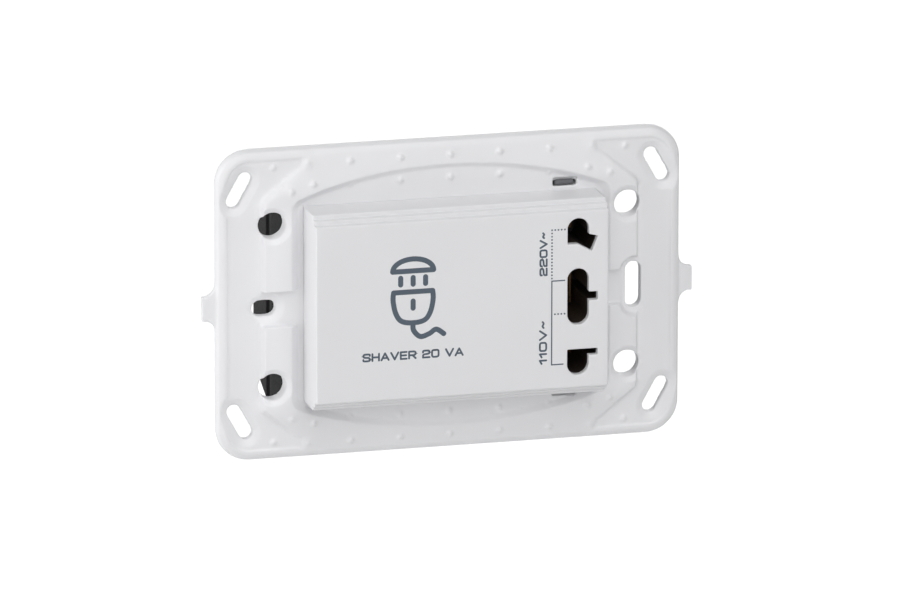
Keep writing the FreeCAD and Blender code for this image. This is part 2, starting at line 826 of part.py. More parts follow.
def make_contact(label, level, width):
    """A folded spring strip: two leaves that grip a pin, and a tail behind."""
    body = new_body(label)
    base = WELL_END
    reach = S["contact_half"]
    strip = S["strip"]
    pinch = reach - S["contact_pinch"]
    neck = base - S["contact_height"] * 0.75
    mouth = base - S["contact_height"]
    right = [
        (reach, base), (reach, base - strip * 2), (pinch, neck), (reach, mouth),
        (reach - strip, mouth), (pinch - strip, neck), (reach - strip, base - strip * 2),
        (reach - strip, base - strip)]
    left = [(-across, y) for across, y in reversed(right)]
    fork = lying(body, level)
    outline(fork, [(PIN_X + across, y) for across, y in right + left])
    pad_both(body, fork, width)
    tail = lying(body, level)
    rectangle(tail, PIN_X - strip / 2, PIN_X + strip / 2, base - strip, TAIL_END)
    pad_both(body, tail, S["tail_width"])
    return body


def make_rear_housing():
    body = new_body("rear_housing")
    wall = facing(body, -S["seat_recess"])
    rounded(wall, HOUSE_X, HOUSE_Z, S["house_corner"])
    pad(body, wall, S["ring_depth"] + S["seat_recess"], reverse=True)
    inside = facing(body, -S["seat_recess"])
    rounded(inside, RING_INNER_X, RING_INNER_Z, S["inner_corner"])
    pocket(body, inside, None)
    middle_x = RING_INNER_X + S["house_wall"] / 2
    middle_z = RING_INNER_Z + S["house_wall"] / 2
    shelf = facing(body, S["shelf_level"])
    rectangle(shelf, CARRIER_LEFT - S["fit"], middle_x, -middle_z, middle_z)
    pad(body, shelf, S["shelf_thick"], reverse=True)
    cut_tail_slots(body, S["shelf_level"], S["shelf_thick"])
    ribs = facing(body, S["rib_start"])
    half = S["rib_thick"] / 2
    for side in SIDES:
        leg = CORE_X + S["leg_width"] * 2.5 * side
        for sz in SIDES:
            low = (CORE_HEIGHT / 2 - S["rib_overlap"]) * sz
            rectangle(ribs, leg - half, leg + half, low, middle_z * sz)
    pad(body, ribs, S["core_front"] - S["rib_start"], reverse=True)
    bosses = facing(body, S["shelf_level"])
    for sz in SIDES:
        circle(bosses, BOSS_X, S["boss_level"] * sz, S["boss_diameter"] / 2)
    pad(body, bosses, S["ring_depth"] - S["shelf_level"], reverse=True)
    bores = facing(body, S["ring_depth"])
    for sz in SIDES:
        circle(bores, BOSS_X, S["boss_level"] * sz, S["screw_diameter"] / 2)
    pocket(body, bores, S["screw_grip"] + S["fit"], reverse=True)
    add_clips(body)
    return body


def add_clips(body):
    """Two spring arms that reach through the frame's windows and hook over the ledges."""
    half = S["window_length"] / 2 - S["clip_side"]
    hook_top = LEDGE_LEVEL - S["hook_thick"]
    arms = facing(body, S["shelf_level"])
    hooks = facing(body, LEDGE_LEVEL)
    for side in SIDES:
        rectangle(arms, CLIP_X - half, CLIP_X + half, CLIP_INNER * side, CLIP_OUTER * side)
        tip = (CLIP_OUTER + S["hook_reach"]) * side
        rectangle(hooks, CLIP_X - half, CLIP_X + half, CLIP_INNER * side, tip)
    pad(body, arms, S["shelf_level"] - hook_top)
    pad(body, hooks, S["hook_thick"])


def make_rear_cover():
    body = new_body("rear_cover")
    joint = S["ring_depth"]
    shoulder = joint + S["groove_width"]
    corner = S["house_corner"]
    shell, end = facing(body, shoulder), facing(body, HOUSE_BACK)
    rounded(shell, HOUSE_X, HOUSE_Z, corner)
    rounded(end, HOUSE_X - S["back_inset_x"], HOUSE_Z - S["back_inset_z"], corner)
    loft(body, "PartDesign::AdditiveLoft", shell, end)
    neck = facing(body, joint)
    rounded(neck, HOUSE_X - S["groove_depth"], HOUSE_Z - S["groove_depth"], corner)
    pad(body, neck, S["groove_width"], reverse=True)
    lip = facing(body, joint - S["lip_depth"])
    rounded(lip, RING_INNER_X - S["fit"], RING_INNER_Z - S["fit"], S["inner_corner"])
    pad(body, lip, S["lip_depth"], reverse=True)
    hollow = facing(body, joint - S["lip_depth"])
    rounded(hollow, CAVITY_WIDTH / 2, CAVITY_HEIGHT / 2, S["inner_corner"] - S["lip_wall"])
    pocket(body, hollow, CAVITY_FLOOR - joint + S["lip_depth"])
    cover_supports(body)
    cover_columns(body)
    terminal_access(body)
    return body


def cover_supports(body):
    """Pads that carry the core at its four corners."""
    pads = facing(body, CORE_BACK)
    half = S["pad_width"] / 2
    for side in SIDES:
        leg = CORE_X + S["leg_width"] * 2.5 * side
        for sz in SIDES:
            outer = CORE_HEIGHT / 2 * sz
            rectangle(pads, leg - half, leg + half, outer, outer - S["pad_height"] * sz)
    pad(body, pads, CAVITY_FLOOR - CORE_BACK + S["floor_wall"] / 2, reverse=True)


def cover_columns(body):
    """Screw columns, bored from behind for the heads."""
    columns = facing(body, S["ring_depth"])
    bores = facing(body, HOUSE_BACK)
    heads = facing(body, HOUSE_BACK)
    for sz in SIDES:
        spot = (BOSS_X, S["boss_level"] * sz)
        circle(columns, *spot, S["boss_diameter"] / 2)
        circle(bores, *spot, S["screw_diameter"] / 2 + S["fit"])
        circle(heads, *spot, S["screw_head"] / 2 + S["fit"])
    pad(body, columns, CAVITY_FLOOR - S["ring_depth"] + S["floor_wall"] / 2, reverse=True)
    pocket(body, bores, HOUSE_BACK - S["ring_depth"], reverse=True)
    pocket(body, heads, S["screw_head_floor"], reverse=True)


def terminal_access(body):
    """Openings in the back for the terminal screws and in the side for the mains wires."""
    screws = facing(body, HOUSE_BACK)
    wires = upright(body, HOUSE_X)
    for level in terminal_levels():
        circle(screws, TERMINAL_X, level, S["terminal_head"] / 2 + S["fit"])
        circle(wires, WIRE_Y, level, S["wire_bore"] / 2 + S["fit"])
    pocket(body, screws, S["floor_wall"], reverse=True)
    pocket(body, wires, HOUSE_X - CAVITY_WIDTH / 2)


def terminal_levels():
    return [S["terminal_level"] + S["terminal_pitch"] / 2 * side for side in SIDES]


def make_core_e():
    """E laminations, pressed into one stack: back below, three legs up."""
    body = new_body("core_e_stack")
    unit = S["leg_width"]
    low, seat, top = -CORE_HEIGHT / 2, unit - CORE_HEIGHT / 2, CORE_HEIGHT / 2 - unit
    right = [
        (unit * 3, low), (unit * 3, top), (unit * 2, top), (unit * 2, seat),
        (unit, seat), (unit, top)]
    left = [(-across, z) for across, z in reversed(right)]
    sketch = facing(body, S["core_front"])
    outline(sketch, [(CORE_X + across, z) for across, z in right + left])
    pad(body, sketch, S["core_stack"], reverse=True)
    return body


def make_core_i():
    """I laminations that close the legs."""
    body = new_body("core_i_stack")
    sketch = facing(body, S["core_front"])
    top = CORE_HEIGHT / 2
    rectangle(sketch, CORE_X - CORE_WIDTH / 2, CORE_X + CORE_WIDTH / 2, top - S["leg_width"], top)
    pad(body, sketch, S["core_stack"], reverse=True)
    return body


def make_core_clamp():
    """Sheet band that holds the two stacks together."""
    body = new_body("core_clamp")
    sketch = facing(body, CORE_MIDDLE - S["clamp_width"] / 2)
    for grow in (S["clamp_sheet"], as_size(0.0)):
        half_x = CORE_WIDTH / 2 + grow
        half_z = CORE_HEIGHT / 2 + grow
        rectangle(sketch, CORE_X - half_x, CORE_X + half_x, -half_z, half_z)
    pad(body, sketch, S["clamp_width"], reverse=True)
    return body


def make_bobbin():
    """Coil former: a square tube with three flanges, so that the coils lie apart."""
    body = new_body("bobbin")
    tube = lying(body, 0.0)
    rectangle(tube, CORE_X - TUBE_X, CORE_X + TUBE_X, CORE_MIDDLE - TUBE_Y, CORE_MIDDLE + TUBE_Y)
    pad_both(body, tube, BOBBIN_Z * 2)
    half_x = COIL_X + S["flange_over"]
    half_y = COIL_Y + S["flange_over"]
    for level in (-BOBBIN_Z, -S["bobbin_wall"] / 2, BOBBIN_Z - S["bobbin_wall"]):
        flange = lying(body, level)
        rounded(flange, half_x, half_y, S["winding_corner"], CORE_X, CORE_MIDDLE)
        pad(body, flange, S["bobbin_wall"])
    hole = lying(body, BOBBIN_Z)
    inner_x = TUBE_X - S["bobbin_wall"]
    inner_y = TUBE_Y - S["bobbin_wall"]
    rectangle(hole, CORE_X - inner_x, CORE_X + inner_x,
              CORE_MIDDLE - inner_y, CORE_MIDDLE + inner_y)
    pocket(body, hole, None)
    return body


def make_winding(label, low):
    """One coil, wound full between two flanges."""
    body = new_body(label)
    coil = lying(body, low)
    rounded(coil, COIL_X, COIL_Y, S["winding_corner"], CORE_X, CORE_MIDDLE)
    rectangle(coil, CORE_X - TUBE_X, CORE_X + TUBE_X, CORE_MIDDLE - TUBE_Y, CORE_MIDDLE + TUBE_Y)
    pad(body, coil, COIL_HEIGHT)
    return body


def make_thermal_cutout():
    """Small sealed cut-out that lies on the front of the primary coil."""
    body = new_body("thermal_cutout")
    sketch = facing(body, COIL_FRONT)
    rounded(sketch, S["cutout_length"] / 2, S["cutout_height"] / 2, S["cutout_height"] / 4,
            CORE_X, PRIMARY_LOW + COIL_HEIGHT / 2)
    pad(body, sketch, S["cutout_thick"])
    return body


def make_terminal_block():
    """Insulating block with a chamber for each clamp."""
    body = new_body("terminal_block")
    half = S["terminal_width"] / 2
    block = facing(body, CAVITY_FLOOR)
    low = S["terminal_level"] - S["terminal_height"] / 2
    rectangle(block, TERMINAL_X - half, TERMINAL_X + half, low, low + S["terminal_height"])
    pad(body, block, S["terminal_depth"])
    chambers = facing(body, CAVITY_FLOOR)
    wires = upright(body, TERMINAL_X + half)
    leads = upright(body, TERMINAL_X - half)
    half_x = S["clamp_length"] / 2 + S["fit"]
    half_z = S["clamp_height"] / 2 + S["fit"]
    for level in terminal_levels():
        rectangle(chambers, TERMINAL_X - half_x, TERMINAL_X + half_x, level - half_z, level + half_z)
        circle(wires, WIRE_Y, level, S["wire_bore"] / 2)
        circle(leads, WIRE_Y, level, S["lead_diameter"] / 2 + S["fit"])
    pocket(body, chambers, S["terminal_depth"] - S["clamp_floor"], reverse=True)
    pocket(body, wires, half)
    pocket(body, leads, half, reverse=True)
    return body


def make_terminal_clamp(name, level):
    """Brass clamp block with a wire bore and a tapped screw hole."""
    body = new_body(name)
    half_x = S["clamp_length"] / 2
    half_z = S["clamp_height"] / 2
    back = CLAMP_FRONT + S["clamp_depth"]
    block = facing(body, back)
    rectangle(block, TERMINAL_X - half_x, TERMINAL_X + half_x, level - half_z, level + half_z)
    pad(body, block, S["clamp_depth"])
    bore = upright(body, TERMINAL_X + half_x)
    circle(bore, WIRE_Y, level, S["wire_bore"] / 2)
    pocket(body, bore, S["clamp_length"] - S["strip"] * 2)
    thread = facing(body, back)
    circle(thread, TERMINAL_X, level, S["terminal_screw"] / 2)
    pocket(body, thread, back - WIRE_Y, reverse=True)
    return body


def make_screw(name, across, level, seat, shank, length, head, height):
    """A pan-head screw that points forward from its seat."""
    body = new_body(name)
    thread = facing(body, seat)
    circle(thread, across, level, shank / 2)
    pad(body, thread, length)
    cap = facing(body, seat)
    circle(cap, across, level, head / 2)
    pad(body, cap, height, reverse=True)
    return body


def make_terminal_screw(name, level):
    seat = CLAMP_FRONT + S["clamp_depth"]
    return make_screw(name, TERMINAL_X, level, seat, S["terminal_screw"],
                      S["terminal_screw_length"], S["terminal_head"], S["terminal_head_height"])


def make_cover_screw(name, level):
    seat = HOUSE_BACK - S["screw_head_floor"]
    length = seat - S["ring_depth"] + S["screw_grip"]
    return make_screw(name, BOSS_X, level, seat, S["screw_diameter"], length,
                      S["screw_head"], S["screw_head_height"])


def group(label, members):
    """Like pieces that share one node as separate solids."""
    node = doc.addObject("Part::Compound", label)
    node.Label = label
    node.Links = members
    return node


def straight_lead(start, end):
    """A round lead pulled straight, with its ends cut flush to what it joins."""
    start, end = (Vector(*(float(value) for value in point)) for point in (start, end))
    radius = float(S["lead_diameter"]) / 2
    along = (end - start).normalize()
    spare = along * (radius * 2)
    rod = Part.makeCylinder(radius, (end - start).Length + radius * 4, start - spare, along)
    reach = abs(end.z - start.z) + radius * 8
    low = Vector(end.x, start.y - reach / 2, min(start.z, end.z) - radius * 4)
    return rod.common(Part.makeBox(start.x - end.x, reach, reach, low))


def lead_node(label, routes):
    """Straight leads, each a separate solid."""
    node = doc.addObject("Part::Feature", label)
    node.Label = label
    node.Shape = Part.makeCompound([straight_lead(*route) for route in routes])
    return node


def make_primary_leads():
    start = TERMINAL_X - S["clamp_length"] / 2
    end = CORE_X + COIL_X
    return lead_node("primary_leads", [
        ((start, WIRE_Y, level), (end, WIRE_Y, level)) for level in terminal_levels()])


def make_secondary_leads():
    start = PIN_X - S["strip"] / 2
    end = CORE_X + COIL_X
    depth = TAIL_END - S["lead_diameter"] / 2
    pitch = COIL_HEIGHT / 4
    return lead_node("secondary_leads", [
        ((start, depth, level), (end, depth, SECONDARY_LOW + pitch * step))
        for step, level in enumerate(CONTACT_LEVELS, start=1)])


def build():
    lower, common, upper = CONTACT_LEVELS
    levels = list(zip(("lower", "upper"), terminal_levels()))
    clamps = [make_terminal_clamp(f"{name}_terminal_clamp", level) for name, level in levels]
    screws = [make_terminal_screw(f"{name}_terminal_screw", level) for name, level in levels]
    holders = [make_cover_screw(f"{name}_cover_screw", S["boss_level"] * side)
               for name, side in (("lower", -1), ("upper", 1))]
    return [
        make_fixing_frame(),
        make_front_cover(),
        make_contact_carrier(),
        make_contact("upper_contact", upper, S["outer_contact_width"]),
        make_contact("common_contact", common, S["common_contact_width"]),
        make_contact("lower_contact", lower, S["outer_contact_width"]),
        make_rear_housing(),
        make_rear_cover(),
        make_core_e(),
        make_core_i(),
        make_core_clamp(),
        make_bobbin(),
        make_winding("primary_winding", PRIMARY_LOW),
        make_winding("secondary_winding", SECONDARY_LOW),
        make_thermal_cutout(),
        make_terminal_block(),
        group("terminal_clamps", clamps),
        group("terminal_screws", screws),
        group("cover_screws", holders),
        make_primary_leads(),
        make_secondary_leads(),
    ]


def check(nodes):
    """Stops if an object failed or a piece is not a sound solid."""
    doc.recompute()
    for item in doc.Objects:
        if "Invalid" in item.State or "Error" in item.State:
            raise RuntimeError(f"{item.Label} failed: {item.State}")
    for node in nodes:
        if node.Shape.isNull() or not node.Shape.isValid() or not node.Shape.Solids:
            raise RuntimeError(f"{node.Label} has no sound shape")


nodes = build()
check(nodes)
os.makedirs("parts", exist_ok=True)
for node in nodes:
    node.Shape.exportStep(f"parts/{node.Label}.step")
    print(node.Label, len(node.Shape.Solids), round(node.Shape.Volume, 1))
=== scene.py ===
import math

import bmesh
import bpy
import numpy
from mathutils import Matrix, Vector


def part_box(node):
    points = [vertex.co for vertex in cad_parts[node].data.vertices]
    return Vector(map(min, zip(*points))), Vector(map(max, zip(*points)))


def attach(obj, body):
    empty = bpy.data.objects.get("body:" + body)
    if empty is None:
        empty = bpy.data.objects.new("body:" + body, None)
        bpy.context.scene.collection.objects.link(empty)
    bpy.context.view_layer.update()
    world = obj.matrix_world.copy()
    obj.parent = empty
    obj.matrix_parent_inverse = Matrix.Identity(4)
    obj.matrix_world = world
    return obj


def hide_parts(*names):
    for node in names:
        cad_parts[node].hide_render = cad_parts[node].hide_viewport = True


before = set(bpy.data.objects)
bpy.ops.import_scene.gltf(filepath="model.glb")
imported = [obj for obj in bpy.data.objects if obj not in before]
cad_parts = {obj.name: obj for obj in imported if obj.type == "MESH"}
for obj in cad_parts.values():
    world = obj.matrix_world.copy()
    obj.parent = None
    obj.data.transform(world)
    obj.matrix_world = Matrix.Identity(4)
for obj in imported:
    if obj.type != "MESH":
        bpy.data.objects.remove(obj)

bl_info = {
    "name": "Shaver Socket",
    "version": (1, 0, 0),
    "blender": (4, 5, 0),
    "location": "View3D > Sidebar > Shaver Socket",
    "description": "Dresses the packed shaver socket with finishes, prints and a studio",
    "category": "Object",
}

MM = 0.001
SIDES = (-1, 1)
QUARTER_TURN = math.radians(90)
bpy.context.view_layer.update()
PHOTO_WIDTH = 900
PHOTO_HEIGHT = 600

# From the frame, in metres: the cover's face and the plate's upper edge
FACE_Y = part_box("front_cover")[0][1]
PLATE_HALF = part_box("fixing_frame")[1][2]

# Planes across the depth, in millimetres: plate, corner fields, and the clips, in front of which a painted
# highlight turns them grey
PLATE_FRONT = -3.0
FIELD_FRONT = -2.7
CLIP_HIGHLIGHT_FRONT = -1.0


def linear(code):
    """An sRGB hex colour as linear red, green, blue and alpha."""
    parts = [int(code[i:i + 2], 16) / 255 for i in (1, 3, 5)]
    bent = [c / 12.92 if c <= 0.04045 else ((c + 0.055) / 1.055) ** 2.4 for c in parts]
    return (*bent, 1.0)


def colour(name, description, code):
    """A colour property whose default is an sRGB hex value."""
    return bpy.props.FloatVectorProperty(
        name=name, description=description, default=linear(code), size=4,
        min=0.0, max=1.0, subtype="COLOR")


def length(name, description, millimetres):
    """A length property whose default is given in millimetres."""
    return bpy.props.FloatProperty(
        name=name, description=description, default=millimetres * MM, precision=5, unit="LENGTH")


def count(name, description, number):
    """A whole-number property."""
    return bpy.props.IntProperty(name=name, description=description, default=number, min=0)


def angle(name, description, degrees):
    """An angle property whose default is given in degrees."""
    return bpy.props.FloatProperty(
        name=name, description=description, default=math.radians(degrees), subtype="ANGLE")


def lamp_power(name, description, watts):
    """The power of a lamp."""
    return bpy.props.FloatProperty(name=name, description=description, default=watts, unit="POWER")


class ShaverFinish(bpy.types.PropertyGroup):
    """Colours and soft edges of the mouldings."""
    frame_white: colour("Frame white", "Colour of the fixing frame", "#ECECEE")
    cover_white: colour("Cover white", "Colour of the socket cover", "#E8E8EA")
    housing_black: colour("Housing black", "Colour of the transformer housing", "#08080A")
    # Painted highlight: grey that stands for the light the black clips' ends catch in the windows
    clip_painted_highlight: colour("Clip painted highlight", "Colour of the clips where they show in the windows", "#6E6F72")
    carrier_black: colour("Carrier black", "Colour of the block with the pin wells", "#2C2520")
    ink: colour("Ink", "Colour of the prints", "#4A5662")
    frame_grid: length("Frame grid", "Grid on which the frame's edges are rounded", 0.2)
    frame_rounds: count("Frame rounds", "How often the frame's edges are rounded", 4)
    cover_grid: length("Cover grid", "Grid on which the cover's edges are rounded", 0.125)
    cover_rounds: count("Cover rounds", "How often the cover's edges are rounded", 1)
    housing_grid: length("Housing grid", "Grid on which the housing's edges are rounded", 0.25)
    housing_rounds: count("Housing rounds", "How often the housing's edges are rounded", 3)
    bump_radius: length("Bump radius", "Radius of one bump on the frame", 1.15)
    bump_height: length("Bump height", "Height of one bump on the frame", 0.5)


class ShaverPrints(bpy.types.PropertyGroup):
    """Sizes of what is printed on the cover."""
    thickness: length("Ink thickness", "How far the ink stands on the face", 0.02)
    number_height: length("Number height", "Height of the voltage numbers", 1.85)
    number_length: length("Number length", "Length of one voltage number", 9.9)
    caption_height: length("Caption height", "Height of the caption's capitals", 1.95)
    caption_length: length("Caption length", "Length of the caption", 22.8)
    letter_width: length("Letter line", "Width of the lines of the letters", 0.42)
    line_width: length("Line width", "Width of the lines beside the apertures", 0.27)
    dot_pitch: length("Dot pitch", "Spacing of the dots in the dotted lines", 0.72)
    sign_width: length("Sign line", "Width of the lines of the sign", 1.15)


class ShaverStage(bpy.types.PropertyGroup):
    """Camera, floor and light."""
    azimuth: angle("Azimuth", "Angle of the camera to the left of the front", 14.69)
    elevation: angle("Elevation", "Angle of the camera above the level", 15.05)
    roll: angle("Roll", "Turn of the camera about its own axis", 0.086)
    distance: length("Distance", "Distance of the camera from the plate", 2600.0)
    scale: bpy.props.FloatProperty(
        name="Scale", description="Pixels of the photograph's frame for one millimetre at the plate",
        default=4.566)
    floor_drop: length("Floor drop", "Height of the plate's lower edge over the floor", 85.0)
    top_power: lamp_power("Top power", "Power of the soft lamp overhead", 0.6)
    side_power: lamp_power("Side power", "Power of the soft lamp on the left", 2.3)
    front_power: lamp_power("Front power", "Power of the soft lamp above the front", 3.9)
    back_power: lamp_power("Back power", "Power of the soft lamp behind the plate", 1.0)
    ambient: bpy.props.FloatProperty(
        name="Ambient", description="Strength of the even light all round", default=0.15)


def add_node(tree, kind, attributes=None, values=None, links=None):
    """Adds a node with its settings and links."""
    node = tree.nodes.new(kind)
    for name, value in (attributes or {}).items():
        setattr(node, name, value)
    for socket, value in (values or {}).items():
        node.inputs[socket].default_value = value
    for socket, source in (links or {}).items():
        tree.links.new(source, node.inputs[socket])
    return node


def new_material(name):
    """An empty material with Object coordinates ready."""
    material = bpy.data.materials.new(name)
    material.use_nodes = True
    tree = material.node_tree
    tree.nodes.clear()
    place = add_node(tree, "ShaderNodeTexCoord").outputs["Object"]
    return material, tree, place


def per_metre(size_mm):
    """The scale of a texture whose pattern repeats about every size_mm."""
    return 1.0 / (size_mm * MM)


def shade(base, factor):
    """The colour made darker or lighter."""
    return (*(min(1.0, c * factor) for c in base[:3]), 1.0)


# The values between which most of a noise lies
NOISE_LOW = 0.3
NOISE_HIGH = 0.7

# Moulded plastic: size of the flow clouds in millimetres, and how far the roughness varies
CLOUD_SIZE = 22.0
GRAIN_SHEEN = 0.12

# Worked metal: tones of the streaks, and roughness of the brightest and dullest ones
STREAK_TONES = (0.82, 1.1)
STREAK_SHINE = 0.8
STREAK_DULL = 1.25

# Layers: where the groove ends and the crest starts in one wave, and the wave's length at scale 1
GROOVE_STOPS = (0.1, 0.5)
WAVE_LENGTH = 0.314


def moulded(name, base, roughness, grain_mm, depth_mm, spread, specular=0.5, highlight_tip=None):
    """A moulded plastic: even colour with faint flow clouds, and a grain unless the tool is polished.

    The grain is drawn coarser than real, so that it shows. A lighter tip colour, a painted highlight where
    the clips catch light, shows in front of the clips' plane.
    """
    material, tree, place = new_material(name)
    cloud = add_node(tree, "ShaderNodeTexNoise", values={"Scale": per_metre(CLOUD_SIZE), "Detail": 2.0},
                     links={"Vector": place})
    tone = add_node(tree, "ShaderNodeValToRGB", links={"Fac": cloud.outputs["Fac"]})
    tones = (1.0 - spread, 1.0 + spread)
    for stop, position, factor in zip(tone.color_ramp.elements, (NOISE_LOW, NOISE_HIGH), tones):
        stop.position = position
        stop.color = shade(base, factor)
    surface = tone.outputs["Color"]
    # Painted highlight: in front of the clips' plane the colour becomes the lighter tip colour, for the light
    # the clips catch
    if highlight_tip is not None:
        depth = add_node(tree, "ShaderNodeSeparateXYZ", links={"Vector": place}).outputs["Y"]
        ahead = add_node(tree, "ShaderNodeMath", {"operation": "LESS_THAN"}, {1: CLIP_HIGHLIGHT_FRONT * MM}, {0: depth})
        surface = add_node(tree, "ShaderNodeMixRGB", values={"Color2": highlight_tip}, links={
            "Fac": ahead.outputs[0], "Color1": surface}).outputs["Color"]
    grain = add_node(tree, "ShaderNodeTexNoise", values={"Scale": per_metre(grain_mm), "Detail": 3.0},
                     links={"Vector": place})
    polish = add_node(tree, "ShaderNodeMapRange", values={
        "From Min": NOISE_LOW, "From Max": NOISE_HIGH,
        "To Min": roughness * (1.0 - GRAIN_SHEEN), "To Max": roughness * (1.0 + GRAIN_SHEEN)},
        links={"Value": grain.outputs["Fac"]})
    shader = add_node(tree, "ShaderNodeBsdfPrincipled", values={
        "IOR": 1.5, "Specular IOR Level": specular},
        links={"Base Color": surface, "Roughness": polish.outputs["Result"]})
    if depth_mm > 0.0:
        bump = add_node(tree, "ShaderNodeBump", values={"Strength": 0.5, "Distance": depth_mm * MM},
                        links={"Height": grain.outputs["Fac"]})
        tree.links.new(bump.outputs["Normal"], shader.inputs["Normal"])
    add_node(tree, "ShaderNodeOutputMaterial", links={"Surface": shader.outputs["BSDF"]})
    return material


def worked_metal(name, base, roughness, streak_mm, stretch, depth_mm):
    """A metal whose rolling, plating or turning leaves fine streaks along one axis.

    The streaks are drawn coarser than real, so that they show.
    """
    material, tree, place = new_material(name)
    drawn = add_node(tree, "ShaderNodeMapping", values={"Scale": stretch}, links={"Vector": place})
    streaks = add_node(tree, "ShaderNodeTexNoise", values={
        "Scale": per_metre(streak_mm), "Detail": 4.0}, links={"Vector": drawn.outputs["Vector"]})
    tone = add_node(tree, "ShaderNodeValToRGB", links={"Fac": streaks.outputs["Fac"]})
    for stop, position, factor in zip(tone.color_ramp.elements, (NOISE_LOW, NOISE_HIGH), STREAK_TONES):
        stop.position = position
        stop.color = shade(base, factor)
    polish = add_node(tree, "ShaderNodeMapRange", values={
        "From Min": NOISE_LOW, "From Max": NOISE_HIGH,
        "To Min": roughness * STREAK_SHINE, "To Max": roughness * STREAK_DULL},
        links={"Value": streaks.outputs["Fac"]})
    bump = add_node(tree, "ShaderNodeBump", values={"Strength": 0.4, "Distance": depth_mm * MM},
                    links={"Height": streaks.outputs["Fac"]})
    shader = add_node(tree, "ShaderNodeBsdfPrincipled", values={"Metallic": 1.0},
                      links={"Base Color": tone.outputs["Color"], "Roughness": polish.outputs["Result"],
                             "Normal": bump.outputs["Normal"]})
    add_node(tree, "ShaderNodeOutputMaterial", links={"Surface": shader.outputs["BSDF"]})
    return material


def layered(name, dark, light, axis, pitch_mm, roughness, metallic, depth_mm):
    """Sheets or turns that lie side by side, with a fine groove between each two."""
    material, tree, place = new_material(name)
    lines = add_node(tree, "ShaderNodeTexWave", attributes={"bands_direction": axis}, values={
        "Scale": per_metre(pitch_mm) * WAVE_LENGTH, "Distortion": 0.15, "Detail": 1.0},
        links={"Vector": place})
    tone = add_node(tree, "ShaderNodeValToRGB", links={"Fac": lines.outputs["Fac"]})
    for stop, position, shown in zip(tone.color_ramp.elements, GROOVE_STOPS, (dark, light)):
        stop.position = position
        stop.color = shown
    bump = add_node(tree, "ShaderNodeBump", values={"Strength": 0.7, "Distance": depth_mm * MM},
                    links={"Height": lines.outputs["Fac"]})
    shader = add_node(tree, "ShaderNodeBsdfPrincipled", values={
        "Metallic": metallic, "Roughness": roughness},
        links={"Base Color": tone.outputs["Color"], "Normal": bump.outputs["Normal"]})
    add_node(tree, "ShaderNodeOutputMaterial", links={"Surface": shader.outputs["BSDF"]})
    return material


def dress(material, *nodes):
    """Gives CAD nodes their finish."""
    for node in nodes:
        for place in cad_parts[node].material_slots:
            place.material = material


def new_object(name, data):
    """An object in the scene's own collection."""
    thing = bpy.data.objects.new(name, data)
    bpy.context.scene.collection.objects.link(thing)
    return thing


def new_piece(name, mesh, material):
    """A finished piece that rides with the socket."""
    piece = new_object(name, mesh)
    mesh.materials.clear()
    mesh.materials.append(material)
    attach(piece, "root")
    return piece


def plain_mesh(thing, name):
    """The evaluated object as a plain mesh; the object that made it is removed with its own mesh."""
    bpy.context.view_layer.update()
    graph = bpy.context.evaluated_depsgraph_get()
    mesh = bpy.data.meshes.new_from_object(thing.evaluated_get(graph))
    source = thing.data
    bpy.data.objects.remove(thing)
    bpy.data.meshes.remove(source)
    mesh.name = name
    return mesh


# Soft edges: merging distance in metres, how far the flat parts of a grid merge, and share of each round
MERGE = 2e-6
GRID_MERGE = 0.03
ROUND_SHARE = 0.5
PIECE_TRIANGLES = 199000

# The slanting steps at the frame's corners in X and Z, and the zone where they run out, in millimetres
SLANTS = [((30.6 * x, 33.1 * z), (42.6 * x, 23.7 * z)) for x in SIDES for z in SIDES]
ZONE_FRONT = -1.5
ZONE_REACH = 1.7
ZONE_ROUNDS = 45


def mark_zone(thing, lines):
    """Names a vertex group of what lies in front and near the given lines in X and Z."""
    mesh = thing.data
    places = numpy.empty(len(mesh.vertices) * 3)
    mesh.vertices.foreach_get("co", places)
    places = places.reshape(-1, 3)
    flat = places[:, (0, 2)]
    near = numpy.zeros(len(flat), dtype=bool)
    for start, end in lines:
        start = numpy.array(start) * MM
        way = numpy.array(end) * MM - start
        along = numpy.clip((flat - start) @ way / (way @ way), 0.0, 1.0)
        gap = flat - start - along[:, None] * way
        near |= (gap ** 2).sum(1) < (ZONE_REACH * MM) ** 2
    near &= places[:, 1] < ZONE_FRONT * MM
    zone = thing.vertex_groups.new(name="Soft zone")
    zone.add([int(i) for i in numpy.flatnonzero(near)], 1.0, "REPLACE")
    return zone.name


def moulding(node, piece_name, grid_size, rounds, material, extra=None, soft_lines=()):
    """The node's own form with every edge rounded a little, as a moulding leaves its tool.

    An extra mesh grows into it, and steps along the soft lines run out in a longer curve.
    """
    form = bmesh.new()
    form.from_mesh(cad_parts[node].data)
    bmesh.ops.remove_doubles(form, verts=form.verts, dist=MERGE)
    if extra is not None:
        form.from_mesh(extra)
        bpy.data.meshes.remove(extra)
    mesh = bpy.data.meshes.new(piece_name)
    form.to_mesh(mesh)
    form.free()
    thing = new_object(piece_name, mesh)
    grid = thing.modifiers.new("Grid", "REMESH")
    grid.mode = "VOXEL"
    grid.voxel_size = grid_size
    grid.adaptivity = GRID_MERGE
    thing = new_object(piece_name, plain_mesh(thing, piece_name))
    soft = thing.modifiers.new("Soft edges", "SMOOTH")
    soft.factor = ROUND_SHARE
    soft.iterations = rounds
    if soft_lines:
        run_out = thing.modifiers.new("Run out", "SMOOTH")
        run_out.vertex_group = mark_zone(thing, soft_lines)
        run_out.factor = ROUND_SHARE
        run_out.iterations = ZONE_ROUNDS
    mesh = plain_mesh(thing, piece_name)
    mesh.calc_loop_triangles()
    triangles = len(mesh.loop_triangles)
    if triangles > PIECE_TRIANGLES:
        raise RuntimeError(f"{piece_name} has {triangles} triangles")
    for face in mesh.polygons:
        face.use_smooth = True
    piece = new_piece(piece_name, mesh, material)
    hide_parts(node)


